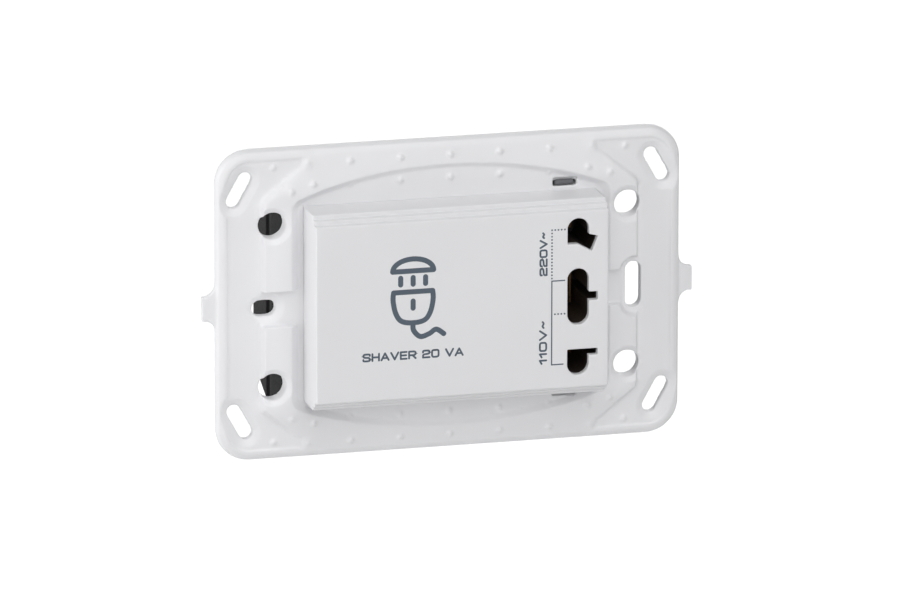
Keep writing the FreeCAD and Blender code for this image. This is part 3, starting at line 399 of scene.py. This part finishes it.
def new_tree(name, sizes):
    """A geometry tree with a named input for each size, and its inputs ready."""
    tree = bpy.data.node_groups.new(name, "GeometryNodeTree")
    tree.interface.new_socket("Geometry", in_out="INPUT", socket_type="NodeSocketGeometry")
    for size in sizes:
        tree.interface.new_socket(size, in_out="INPUT", socket_type="NodeSocketFloat")
    tree.interface.new_socket("Geometry", in_out="OUTPUT", socket_type="NodeSocketGeometry")
    return tree, add_node(tree, "NodeGroupInput").outputs


def grown(name, mesh, tree, sizes):
    """The plain mesh that a geometry tree makes from points or lines, with its sizes in metres."""
    thing = new_object(name, mesh)
    modifier = thing.modifiers.new(name, "NODES")
    modifier.node_group = tree
    for item in tree.interface.items_tree:
        if item.in_out == "INPUT" and item.name in sizes:
            modifier[item.identifier] = sizes[item.name]
    return plain_mesh(thing, name)


# Places of the bumps on one half of the frame, in millimetres, and the surface that each stands on
BUMP_PITCH = 11.25
BAND_BUMPS = [(BUMP_PITCH * k, 31.6) for k in range(-2, 3)]
BAND_BUMPS += [(x * side, z) for side in SIDES for x, z in ((32.0, 31.6), (31.0, 27.0), (36.0, 25.6))]
PAN_BUMPS = [(BUMP_PITCH * k, 26.5) for k in range(-2, 3)]
FIELD_BUMPS = [(39.7 * side, 31.05) for side in SIDES]
BAND_TOP = 33.1
BAND_FALL = 1.6 / 8.5

# One bump from a ball of radius 1: what lies over the rim becomes a cosine dome, the rest a sunk foot
BUMP_RIM = 0.001
BUMP_FOOT = -0.4


def bump_spots():
    """Where each bump stands and how its surface leans."""
    lean = math.atan(BAND_FALL)
    spots = []
    for side in SIDES:
        for x, z in BAND_BUMPS:
            spots.append((x, PLATE_FRONT - (BAND_TOP - z) * BAND_FALL, z * side, -lean * side))
        spots += [(x, PLATE_FRONT, z * side, 0.0) for x, z in PAN_BUMPS]
        spots += [(x, FIELD_FRONT, z * side, 0.0) for x, z in FIELD_BUMPS]
    return spots


def bump_tree(material):
    """Instances of one soft dome on every point, turned with the surface."""
    tree, entry = new_tree("Moulded bumps", ("Radius", "Height"))
    ball = add_node(tree, "GeometryNodeMeshUVSphere", values={"Segments": 24, "Rings": 16, "Radius": 1.0})
    place = add_node(tree, "GeometryNodeInputPosition").outputs["Position"]
    parts = add_node(tree, "ShaderNodeSeparateXYZ", links={"Vector": place}).outputs
    flat = add_node(tree, "ShaderNodeCombineXYZ", links={"X": parts["X"], "Y": parts["Y"]})
    reach = add_node(tree, "ShaderNodeVectorMath", {"operation": "LENGTH"},
                     links={0: flat.outputs["Vector"]}).outputs["Value"]
    turn = add_node(tree, "ShaderNodeMath", {"operation": "MULTIPLY"}, {1: math.pi}, {0: reach})
    wave = add_node(tree, "ShaderNodeMath", {"operation": "COSINE"}, links={0: turn.outputs[0]})
    dome = add_node(tree, "ShaderNodeMath", {"operation": "MULTIPLY_ADD"}, {1: 0.5, 2: 0.5},
                    {0: wave.outputs[0]})
    upper = add_node(tree, "ShaderNodeMath", {"operation": "GREATER_THAN"}, {1: BUMP_RIM}, {0: parts["Z"]})
    rise = add_node(tree, "ShaderNodeMath", {"operation": "MULTIPLY"},
                    links={0: dome.outputs[0], 1: upper.outputs[0]})
    sunk = add_node(tree, "ShaderNodeMath", {"operation": "SUBTRACT"}, {0: 1.0}, {1: upper.outputs[0]})
    depth = add_node(tree, "ShaderNodeMath", {"operation": "MULTIPLY_ADD"}, {1: BUMP_FOOT},
                     {0: sunk.outputs[0], 2: rise.outputs[0]})
    shape = add_node(tree, "ShaderNodeCombineXYZ",
                     links={"X": parts["X"], "Y": parts["Y"], "Z": depth.outputs[0]})
    formed = add_node(tree, "GeometryNodeSetPosition",
                      links={"Geometry": ball.outputs["Mesh"], "Position": shape.outputs["Vector"]})
    size = add_node(tree, "ShaderNodeCombineXYZ",
                    links={"X": entry["Radius"], "Y": entry["Radius"], "Z": entry["Height"]})
    lean = add_node(tree, "GeometryNodeInputNamedAttribute", {"data_type": "FLOAT"}, {"Name": "lean"})
    pitch = add_node(tree, "ShaderNodeMath", {"operation": "ADD"}, {1: QUARTER_TURN},
                     {0: lean.outputs["Attribute"]})
    spin = add_node(tree, "ShaderNodeCombineXYZ", links={"X": pitch.outputs[0]})
    spread = add_node(tree, "GeometryNodeInstanceOnPoints", links={
        "Points": entry["Geometry"], "Instance": formed.outputs["Geometry"],
        "Rotation": spin.outputs["Vector"], "Scale": size.outputs["Vector"]})
    real = add_node(tree, "GeometryNodeRealizeInstances", links={"Geometry": spread.outputs["Instances"]})
    smooth = add_node(tree, "GeometryNodeSetShadeSmooth", links={"Geometry": real.outputs["Geometry"]})
    coat = add_node(tree, "GeometryNodeSetMaterial", values={"Material": material},
                    links={"Geometry": smooth.outputs["Geometry"]})
    add_node(tree, "NodeGroupOutput", links={"Geometry": coat.outputs["Geometry"]})
    return tree


def bumps(finish, material):
    """All the bumps as one mesh."""
    spots = bump_spots()
    mesh = bpy.data.meshes.new("bump_places")
    mesh.from_pydata([(x * MM, y * MM, z * MM) for x, y, z, _ in spots], [], [])
    mesh.attributes.new("lean", "FLOAT", "POINT").data.foreach_set("value", [spot[3] for spot in spots])
    return grown("bumps", mesh, bump_tree(material), {
        "Radius": finish.bump_radius, "Height": finish.bump_height})


class SHAVER_OT_fixing_frame(bpy.types.Operator):
    """Soft-edged white fixing frame with its bumps"""
    bl_idname = "shaver.fixing_frame"
    bl_label = "Fixing frame"

    def execute(self, context):
        finish = context.scene.shaver_finish
        # ASA, moulded in a fine spark-eroded tool: white, satin, with a soft broad sheen
        white = moulded("white_asa_satin_moulded", finish.frame_white, roughness=0.42, grain_mm=0.5,
                        depth_mm=0.006, spread=0.012)
        moulding("fixing_frame", "frame_moulding", finish.frame_grid, finish.frame_rounds, white,
                 bumps(finish, white), SLANTS)
        return {"FINISHED"}


class SHAVER_OT_front_cover(bpy.types.Operator):
    """Soft-edged stepped socket cover"""
    bl_idname = "shaver.front_cover"
    bl_label = "Front cover"

    def execute(self, context):
        finish = context.scene.shaver_finish
        # Polycarbonate from a polished tool: white, smoother than the frame, with a mild gloss
        white = moulded("white_polycarbonate_moulded", finish.cover_white, roughness=0.4, grain_mm=0.5,
                        depth_mm=0.0, spread=0.008)
        moulding("front_cover", "cover_moulding", finish.cover_grid, finish.cover_rounds, white)
        return {"FINISHED"}


# Ink lines: sharpest mitre, steps of a round end, and how much thinner each line is than the last
MITRE = 0.4
CAP_STEPS = 8
LAYER = 0.05
LAYERS = 8


def stroke(form, points, width, thickness):
    """A flat line of ink with round ends along points of the drawing, in metres."""
    half = width / 2
    left, right = [], []
    ways = [(Vector(b) - Vector(a)).normalized() for a, b in zip(points, points[1:])]
    for i, point in enumerate(points):
        before, after = ways[max(i - 1, 0)], ways[min(i, len(ways) - 1)]
        along = before + after
        along = along / max(along.dot(before), MITRE)
        side = Vector((-along.y, along.x)) * half
        left.append((point[0] + side.x, point[1] + side.y))
        right.append((point[0] - side.x, point[1] - side.y))
    caps = []
    for centre, way, quarter in ((points[-1], ways[-1], QUARTER_TURN), (points[0], ways[0], -QUARTER_TURN)):
        start = math.atan2(way.y, way.x) + quarter
        turns = [start - math.pi * k / CAP_STEPS for k in range(1, CAP_STEPS)]
        caps.append([(centre[0] + half * math.cos(t), centre[1] + half * math.sin(t)) for t in turns])
    ring = left + caps[0] + right[::-1] + caps[1]
    low = [form.verts.new((x, y, -thickness)) for x, y in ring]
    high = [form.verts.new((x, y, thickness)) for x, y in ring]
    number = len(points)
    first_cap = number + CAP_STEPS - 1
    second_cap = first_cap + number
    for i in range(len(ring)):
        j = (i + 1) % len(ring)
        form.faces.new((low[i], low[j], high[j], high[i]))
    for verts in (low, high):
        lefts = verts[:number]
        rights = verts[first_cap:second_cap][::-1]
        for i in range(number - 1):
            form.faces.new((lefts[i], lefts[i + 1], rights[i + 1], rights[i]))
        form.faces.new([lefts[-1], *verts[number:first_cap], rights[-1]])
        form.faces.new([rights[0], *verts[second_cap:], lefts[0]])


def facing_front(mesh, across, up, turn=0.0):
    """Stands a flat drawing on the cover's face, at a place given in metres."""
    spin = Matrix.Rotation(turn, 4, "Z")
    stand = Matrix.Rotation(QUARTER_TURN, 4, "X")
    place = Matrix.Translation((across, FACE_Y, up))
    mesh.transform(place @ stand @ spin)


def drawing(name, lines, width, spot, material, turn=0.0):
    """Ink lines as one piece; lines are in millimetres about a spot of the face."""
    prints = bpy.context.scene.shaver_prints
    form = bmesh.new()
    for k, line in enumerate(lines):
        thickness = prints.thickness * (1.0 - LAYER * (k % LAYERS))
        stroke(form, [(x * MM, y * MM) for x, y in line], width, thickness)
    bmesh.ops.recalc_face_normals(form, faces=form.faces)
    mesh = bpy.data.meshes.new(name)
    form.to_mesh(mesh)
    form.free()
    facing_front(mesh, spot[0] * MM, spot[1] * MM, turn)
    new_piece(name, mesh, material)


def smooth_line(points, steps=10):
    """Points along a smooth open line through the given ones."""
    padded = [points[0], *points, points[-1]]
    line = []
    for i in range(1, len(padded) - 2):
        p0, p1, p2, p3 = (Vector(p) for p in padded[i - 1:i + 3])
        for k in range(steps):
            t = k / steps
            line.append(tuple(0.5 * (2 * p1 + (p2 - p0) * t + (2 * p0 - 5 * p1 + 4 * p2 - p3) * t ** 2
                                     + (3 * p1 - p0 - 3 * p2 + p3) * t ** 3)))
    line.append(tuple(points[-1]))
    return line


def soft_corners(points, radius=0.3, steps=5):
    """The line with its inner corners rounded."""
    line = [points[0]]
    for before, corner, after in zip(points, points[1:], points[2:]):
        here = Vector(corner)
        arms = [Vector(before) - here, Vector(after) - here]
        start, end = (here + arm.normalized() * min(radius, arm.length / 2) for arm in arms)
        for k in range(steps + 1):
            t = k / steps
            line.append(tuple(start.lerp(here, t).lerp(here.lerp(end, t), t)))
    line.append(points[-1])
    return line


# Plain capitals and figures, one unit high: width, then the lines
GLYPHS = {
    " ": (0.35, []),
    "~": (0.7, [smooth_line([(0.0, 0.42), (0.18, 0.58), (0.35, 0.5), (0.52, 0.42), (0.7, 0.58)])]),
    "0": (0.95, [soft_corners([(0.47, 1), (0.95, 1), (0.95, 0), (0, 0), (0, 1), (0.47, 1)])]),
    "1": (0.4, [[(0, 0.72), (0.38, 1)], [(0.38, 1), (0.38, 0)]]),
    "2": (0.95, [soft_corners([(0, 0.75), (0, 1), (0.95, 1), (0.95, 0.53), (0, 0.45), (0, 0)]),
                 [(0, 0), (0.95, 0)]]),
    "A": (1.04, [[(0, 0), (0.52, 1)], [(0.52, 1), (1.04, 0)], [(0.17, 0.3), (0.87, 0.3)]]),
    "E": (0.85, [[(0, 0), (0, 1)], [(0, 1), (0.85, 1)], [(0, 0), (0.85, 0)], [(0, 0.51), (0.78, 0.51)]]),
    "H": (0.95, [[(0, 0), (0, 1)], [(0.95, 0), (0.95, 1)], [(0, 0.5), (0.95, 0.5)]]),
    "R": (0.95, [[(0, 0), (0, 1)], soft_corners([(0, 1), (0.95, 1), (0.95, 0.46), (0, 0.46)]),
                 [(0.5, 0.46), (0.95, 0)]]),
    "S": (0.95, [soft_corners([(0.93, 0.78), (0.93, 1), (0, 1), (0, 0.54), (0.95, 0.48), (0.95, 0), (0, 0),
                               (0, 0.22)])]),
    "V": (1.04, [[(0, 1), (0.52, 0)], [(0.52, 0), (1.04, 1)]]),
}
GLYPH_GAP = 0.36


def lettering(name, words, height, reach, spot, material, turn=0.0):
    """Letters of plain lines, fitted to a height and a length and centred on a spot of the face."""
    width = bpy.context.scene.shaver_prints.letter_width
    total = sum(GLYPHS[letter][0] for letter in words) + GLYPH_GAP * (len(words) - 1)
    across_scale = (reach - width) / MM / total
    up_scale = (height - width) / MM
    lines = []
    start = -total / 2
    for letter in words:
        room, strokes = GLYPHS[letter]
        for line in strokes:
            lines.append([((start + x) * across_scale, (y - 0.5) * up_scale) for x, y in line])
        start += room + GLYPH_GAP
    drawing(name, lines, width, spot, material, turn)


# The prints and their places on the face, in millimetres
FACE_MIDDLE = (0.0, 0.0)
NUMBERS = (("upper_voltage", "220V~", (18.2, 10.7)), ("lower_voltage", "110V~", (18.15, -9.35)))
CAPTION = "SHAVER 20 VA"
CAPTION_SPOT = (-11.2, -10.05)
SIGN_SPOT = (-11.2, 2.7)
LINE_X = 20.1
TICK_X = 23.0
DOTS_X = 20.82
SOLID_LINES = [[(TICK_X, 4.5), (LINE_X, 4.5), (LINE_X, -14.45), (TICK_X - 0.3, -14.45)]]
DOTTED_LINES = [
    [(LINE_X, 16.0), (LINE_X, 5.1)],
    [(DOTS_X, 16.0), (TICK_X, 16.0)],
    [(DOTS_X, -3.03), (TICK_X, -3.03)],
]
DOT_SHARE = 0.74


def sign_lines():
    """A plain upright shaver with its foil, comb, switch and flex."""
    foil = [(4.6 * math.cos(math.radians(a)), 6.2 + 2.7 * math.sin(math.radians(a)))
            for a in range(180, -1, -9)]
    collar = [(-4.6, 6.2), (4.6, 6.2)]
    teeth = [[(x, 4.7), (x, 3.2)] for x in (-2.8, 0.0, 2.8)]
    body = smooth_line([
        (-4.4, 1.5), (-4.5, -0.4), (-3.9, -3.2), (-2.6, -5.0), (0.0, -5.5), (2.6, -5.0),
        (3.9, -3.2), (4.5, -0.4), (4.4, 1.5)])
    shoulder = [(-4.4, 1.5), (4.4, 1.5)]
    switch = [(0.0, -0.6), (0.0, -2.2)]
    flex = smooth_line([(0.0, -5.5), (0.1, -7.2), (1.6, -8.7), (3.6, -8.2), (5.2, -7.3), (6.9, -8.4)])
    return [foil, collar, *teeth, body, shoulder, switch, flex]


def dot_tree(material):
    """Flat round dots set out along each line."""
    tree, entry = new_tree("Printed dots", ("Pitch", "Radius", "Thickness"))
    line = add_node(tree, "GeometryNodeMeshToCurve", links={"Mesh": entry["Geometry"]})
    marks = add_node(tree, "GeometryNodeResampleCurve", {"mode": "LENGTH"},
                     links={"Curve": line.outputs["Curve"], "Length": entry["Pitch"]})
    dot = add_node(tree, "GeometryNodeMeshCylinder", values={"Vertices": 12},
                   links={"Radius": entry["Radius"], "Depth": entry["Thickness"]})
    spread = add_node(tree, "GeometryNodeInstanceOnPoints", links={
        "Points": marks.outputs["Curve"], "Instance": dot.outputs["Mesh"]})
    real = add_node(tree, "GeometryNodeRealizeInstances", links={"Geometry": spread.outputs["Instances"]})
    coat = add_node(tree, "GeometryNodeSetMaterial", values={"Material": material},
                    links={"Geometry": real.outputs["Geometry"]})
    add_node(tree, "NodeGroupOutput", links={"Geometry": coat.outputs["Geometry"]})
    return tree


def dotted_lines(prints, material):
    """All the dots as one piece."""
    mesh = bpy.data.meshes.new("dotted_runs")
    points = [(x * MM, y * MM, 0.0) for line in DOTTED_LINES for x, y in line]
    mesh.from_pydata(points, [(2 * k, 2 * k + 1) for k in range(len(DOTTED_LINES))], [])
    dots = grown("voltage_dots", mesh, dot_tree(material), {
        "Pitch": prints.dot_pitch, "Radius": prints.line_width * DOT_SHARE,
        "Thickness": prints.thickness * 2})
    facing_front(dots, *FACE_MIDDLE)
    new_piece("voltage_dots", dots, material)


class SHAVER_OT_prints(bpy.types.Operator):
    """Voltage numbers, lines, sign and caption on the cover"""
    bl_idname = "shaver.prints"
    bl_label = "Prints"

    def execute(self, context):
        prints = context.scene.shaver_prints
        # Pad-printed ink: thin, matt, with the slight unevenness of the pad
        ink = moulded("pad_print_ink_slate", context.scene.shaver_finish.ink, roughness=0.6, grain_mm=0.25,
                      depth_mm=0.003, spread=0.06)
        for name, words, spot in NUMBERS:
            lettering(name, words, prints.number_height, prints.number_length, spot, ink, QUARTER_TURN)
        lettering("caption", CAPTION, prints.caption_height, prints.caption_length, CAPTION_SPOT, ink)
        drawing("shaver_sign", sign_lines(), prints.sign_width, SIGN_SPOT, ink)
        drawing("voltage_lines", SOLID_LINES, prints.line_width, FACE_MIDDLE, ink)
        dotted_lines(prints, ink)
        return {"FINISHED"}


class SHAVER_OT_housing(bpy.types.Operator):
    """Black transformer housing, its back and the block with the pin wells"""
    bl_idname = "shaver.housing"
    bl_label = "Housing"

    def execute(self, context):
        finish = context.scene.shaver_finish
        # Polycarbonate with an eroded texture: near black and dull, with a painted highlight in grey where
        # the clips' ends catch light
        black = moulded("black_polycarbonate_textured", finish.housing_black, roughness=0.75, grain_mm=0.45,
                        depth_mm=0.05, spread=0.12, specular=0.12, highlight_tip=finish.clip_painted_highlight)
        for node, piece_name in (("rear_housing", "housing_moulding"), ("rear_cover", "back_moulding")):
            moulding(node, piece_name, finish.housing_grid, finish.housing_rounds, black)
        # Phenolic, pressed: brown black and dull
        carrier = moulded("brown_black_phenolic_pressed", finish.carrier_black, roughness=0.55, grain_mm=0.7,
                          depth_mm=0.02, spread=0.1)
        dress(carrier, "contact_carrier")
        return {"FINISHED"}


class SHAVER_OT_transformer(bpy.types.Operator):
    """Core, coils and their former"""
    bl_idname = "shaver.transformer"
    bl_label = "Transformer"

    def execute(self, context):
        # Electrical steel, stamped and stacked: dark grey edges of thin sheets, drawn coarser than real
        sheets = layered("electrical_steel_stamped", linear("#2B2D31"), linear("#6A6C70"), "Y",
                         pitch_mm=1.0, roughness=0.45, metallic=0.9, depth_mm=0.06)
        dress(sheets, "core_e_stack", "core_i_stack")
        # Enamelled copper wire, wound: even turns with a warm gloss, drawn coarser than real
        wire = layered("copper_wire_enamelled", linear("#6E2F16"), linear("#C46A35"), "Z",
                       pitch_mm=0.8, roughness=0.3, metallic=0.85, depth_mm=0.08)
        dress(wire, "primary_winding", "secondary_winding")
        # Natural nylon: milky and slightly waxy
        nylon = moulded("natural_nylon_moulded", linear("#D9D2BE"), roughness=0.4, grain_mm=1.2,
                        depth_mm=0.015, spread=0.05)
        dress(nylon, "bobbin", "terminal_block")
        # Zinc-plated steel strip: pale grey with faint rolling lines
        zinc = worked_metal("zinc_plated_steel", linear("#B9BBBE"), roughness=0.32, streak_mm=0.8,
                            stretch=(1.0, 0.15, 1.0), depth_mm=0.01)
        dress(zinc, "core_clamp", "terminal_screws", "cover_screws")
        # Glass-filled polyester, moulded: dark brown grey and dull
        polyester = moulded("glass_filled_polyester_moulded", linear("#3A3634"), roughness=0.5, grain_mm=0.4,
                            depth_mm=0.02, spread=0.1)
        dress(polyester, "thermal_cutout")
        return {"FINISHED"}


class SHAVER_OT_contacts(bpy.types.Operator):
    """Spring contacts, terminals and leads"""
    bl_idname = "shaver.contacts"
    bl_label = "Contacts"

    def execute(self, context):
        # Phosphor bronze strip, rolled: warm brown gold with long fine lines
        bronze = worked_metal("phosphor_bronze_rolled", linear("#7E6144"), roughness=0.34, streak_mm=0.5,
                              stretch=(1.0, 0.1, 1.0), depth_mm=0.006)
        dress(bronze, "upper_contact", "common_contact", "lower_contact")
        # Brass bar, machined: yellow with the marks of the cutter
        brass = worked_metal("brass_machined", linear("#C9A85C"), roughness=0.25, streak_mm=0.4,
                             stretch=(0.2, 1.0, 1.0), depth_mm=0.008)
        dress(brass, "terminal_clamps")
        # Soft vinyl sleeve: smooth and a little oily, dark on the mains side and pale on the other
        dark = moulded("vinyl_sleeve_dark", linear("#2A2A2E"), roughness=0.38, grain_mm=0.8,
                       depth_mm=0.01, spread=0.08)
        dress(dark, "primary_leads")
        pale = moulded("vinyl_sleeve_pale", linear("#8C8F96"), roughness=0.38, grain_mm=0.8,
                       depth_mm=0.01, spread=0.06)
        dress(pale, "secondary_leads")
        return {"FINISHED"}


# Where the plate's middle falls in the photograph's frame, in pixels
PLATE_PIXEL = (449.71, 294.02)
SENSOR_WIDTH = 36.0
CLIP_NEAR = 0.05
CLIP_FAR = 20.0

# Each lamp's power, the way to it from the plate, and its distance and width in metres
LAMPS = {
    "Top lamp": ("top_power", (-0.05, -0.15, 1.0), 0.8),
    "Side lamp": ("side_power", (-0.97, -0.05, 0.25), 0.6),
    "Front lamp": ("front_power", (0.05, -0.8, 0.6), 0.8),
    "Back lamp": ("back_power", (0.4, 0.85, 0.35), 0.9),
}
WHITE = (1.0, 1.0, 1.0, 1.0)

# The floor's half width in metres, what lifts it to white for the eye, and its clouds in millimetres
FLOOR_HALF = 4.0
FLOOR_LIFT = 0.72
FLOOR_CLOUD = 90.0
FLOOR_TONES = ("#F2F2F2", "#F6F6F6")


def make_camera(stage):
    """The camera at the photograph's viewing angle; the plate's middle falls on PLATE_PIXEL."""
    a, e = stage.azimuth, stage.elevation
    right = Vector((math.cos(a), -math.sin(a), 0.0))
    ahead = Vector((math.sin(a) * math.cos(e), math.cos(a) * math.cos(e), -math.sin(e)))
    up = right.cross(ahead)
    pixels_per_metre = stage.scale / MM
    plate = Vector((0.0, PLATE_FRONT * MM, 0.0))
    target = plate + right * ((PHOTO_WIDTH / 2 - PLATE_PIXEL[0]) / pixels_per_metre)
    target += up * ((PLATE_PIXEL[1] - PHOTO_HEIGHT / 2) / pixels_per_metre)
    data = bpy.data.cameras.new("Camera")
    data.sensor_fit = "HORIZONTAL"
    data.sensor_width = SENSOR_WIDTH
    data.lens = pixels_per_metre * stage.distance * SENSOR_WIDTH / PHOTO_WIDTH
    data.clip_start = CLIP_NEAR
    data.clip_end = CLIP_FAR
    camera = new_object("Camera", data)
    place = Matrix.Translation(target - ahead * stage.distance)
    turn = Matrix((right, up, -ahead)).transposed().to_4x4()
    camera.matrix_world = place @ turn @ Matrix.Rotation(stage.roll, 4, "Z")
    bpy.context.scene.camera = camera


def make_lamp(name, way, reach, watts):
    """A square lamp as wide as its reach, turned to the middle of the plate."""
    data = bpy.data.lights.new(name, "AREA")
    data.shape = "SQUARE"
    data.size = reach
    data.energy = watts
    lamp = new_object(name, data)
    place = Vector(way).normalized() * reach
    lamp.location = place
    lamp.rotation_euler = (-place).to_track_quat("-Z", "Y").to_euler()


def seen_rays(tree):
    """One where the camera, a gloss or a glass looks at the surface, and nought elsewhere."""
    rays = add_node(tree, "ShaderNodeLightPath").outputs
    direct = add_node(tree, "ShaderNodeMath", {"operation": "MAXIMUM"},
                      links={0: rays["Is Camera Ray"], 1: rays["Is Glossy Ray"]})
    return add_node(tree, "ShaderNodeMath", {"operation": "MAXIMUM"},
                    links={0: direct.outputs[0], 1: rays["Is Transmission Ray"]}).outputs[0]


def make_light(stage):
    """Four broad lamps, and an even white room that the camera sees as white."""
    for name, (power_name, way, reach) in LAMPS.items():
        make_lamp(name, way, reach, getattr(stage, power_name))
    world = bpy.data.worlds.new("White room")
    world.use_nodes = True
    tree = world.node_tree
    tree.nodes.clear()
    strength = add_node(tree, "ShaderNodeMapRange", values={"To Min": stage.ambient, "To Max": 1.0},
                        links={"Value": seen_rays(tree)})
    glow = add_node(tree, "ShaderNodeBackground", values={"Color": WHITE},
                    links={"Strength": strength.outputs["Result"]})
    add_node(tree, "ShaderNodeOutputWorld", links={"Surface": glow.outputs["Background"]})
    bpy.context.scene.world = world


def make_floor(stage):
    """A wide pale floor that keeps the soft shadow."""
    level = -PLATE_HALF - stage.floor_drop
    corners = [(x * FLOOR_HALF, y * FLOOR_HALF, level) for x, y in ((-1, -1), (1, -1), (1, 1), (-1, 1))]
    mesh = bpy.data.meshes.new("floor")
    mesh.from_pydata(corners, [], [(0, 1, 2, 3)])
    floor = new_object("floor", mesh)
    # Paint, rolled on: pale and matt, with faint clouds
    material, tree, place = new_material("pale_painted_floor")
    cloud = add_node(tree, "ShaderNodeTexNoise", values={"Scale": per_metre(FLOOR_CLOUD)},
                     links={"Vector": place})
    tone = add_node(tree, "ShaderNodeValToRGB", links={"Fac": cloud.outputs["Fac"]})
    for stop, code in zip(tone.color_ramp.elements, FLOOR_TONES):
        stop.color = linear(code)
    matt = add_node(tree, "ShaderNodeBsdfDiffuse", links={"Color": tone.outputs["Color"]})
    lift = add_node(tree, "ShaderNodeMath", {"operation": "MULTIPLY"}, {1: FLOOR_LIFT}, {0: seen_rays(tree)})
    glow = add_node(tree, "ShaderNodeEmission", links={"Strength": lift.outputs[0]})
    both = add_node(tree, "ShaderNodeAddShader", links={0: matt.outputs["BSDF"], 1: glow.outputs["Emission"]})
    add_node(tree, "ShaderNodeOutputMaterial", links={"Surface": both.outputs["Shader"]})
    mesh.materials.append(material)


class SHAVER_OT_stage(bpy.types.Operator):
    """Camera, soft light and pale floor"""
    bl_idname = "shaver.stage"
    bl_label = "Stage"

    def execute(self, context):
        stage = context.scene.shaver_stage
        make_camera(stage)
        make_light(stage)
        make_floor(stage)
        context.scene.view_settings.view_transform = "Standard"
        return {"FINISHED"}


class SHAVER_PT_panel(bpy.types.Panel):
    """Lists the operators in the sidebar"""
    bl_idname = "SHAVER_PT_panel"
    bl_label = "Shaver Socket"
    bl_space_type = "VIEW_3D"
    bl_region_type = "UI"
    bl_category = "Shaver Socket"

    def draw(self, context):
        for operator in OPERATORS:
            self.layout.operator(operator.bl_idname)
        for group in GROUPS:
            holder = getattr(context.scene, group)
            for name in holder.__annotations__:
                self.layout.prop(holder, name)


OPERATORS = (
    SHAVER_OT_stage, SHAVER_OT_fixing_frame, SHAVER_OT_front_cover, SHAVER_OT_prints,
    SHAVER_OT_housing, SHAVER_OT_transformer, SHAVER_OT_contacts)
GROUPS = {"shaver_finish": ShaverFinish, "shaver_prints": ShaverPrints, "shaver_stage": ShaverStage}


def register():
    for group, kind in GROUPS.items():
        bpy.utils.register_class(kind)
        setattr(bpy.types.Scene, group, bpy.props.PointerProperty(type=kind))
    for operator in OPERATORS:
        bpy.utils.register_class(operator)
    bpy.utils.register_class(SHAVER_PT_panel)


def unregister():
    bpy.utils.unregister_class(SHAVER_PT_panel)
    for operator in reversed(OPERATORS):
        bpy.utils.unregister_class(operator)
    for group, kind in GROUPS.items():
        delattr(bpy.types.Scene, group)
        bpy.utils.unregister_class(kind)


def main():
    register()
    bpy.ops.shaver.stage()
    bpy.ops.shaver.fixing_frame()
    bpy.ops.shaver.front_cover()
    bpy.ops.shaver.prints()
    bpy.ops.shaver.housing()
    bpy.ops.shaver.transformer()
    bpy.ops.shaver.contacts()


if __name__ == "__main__":
    main()
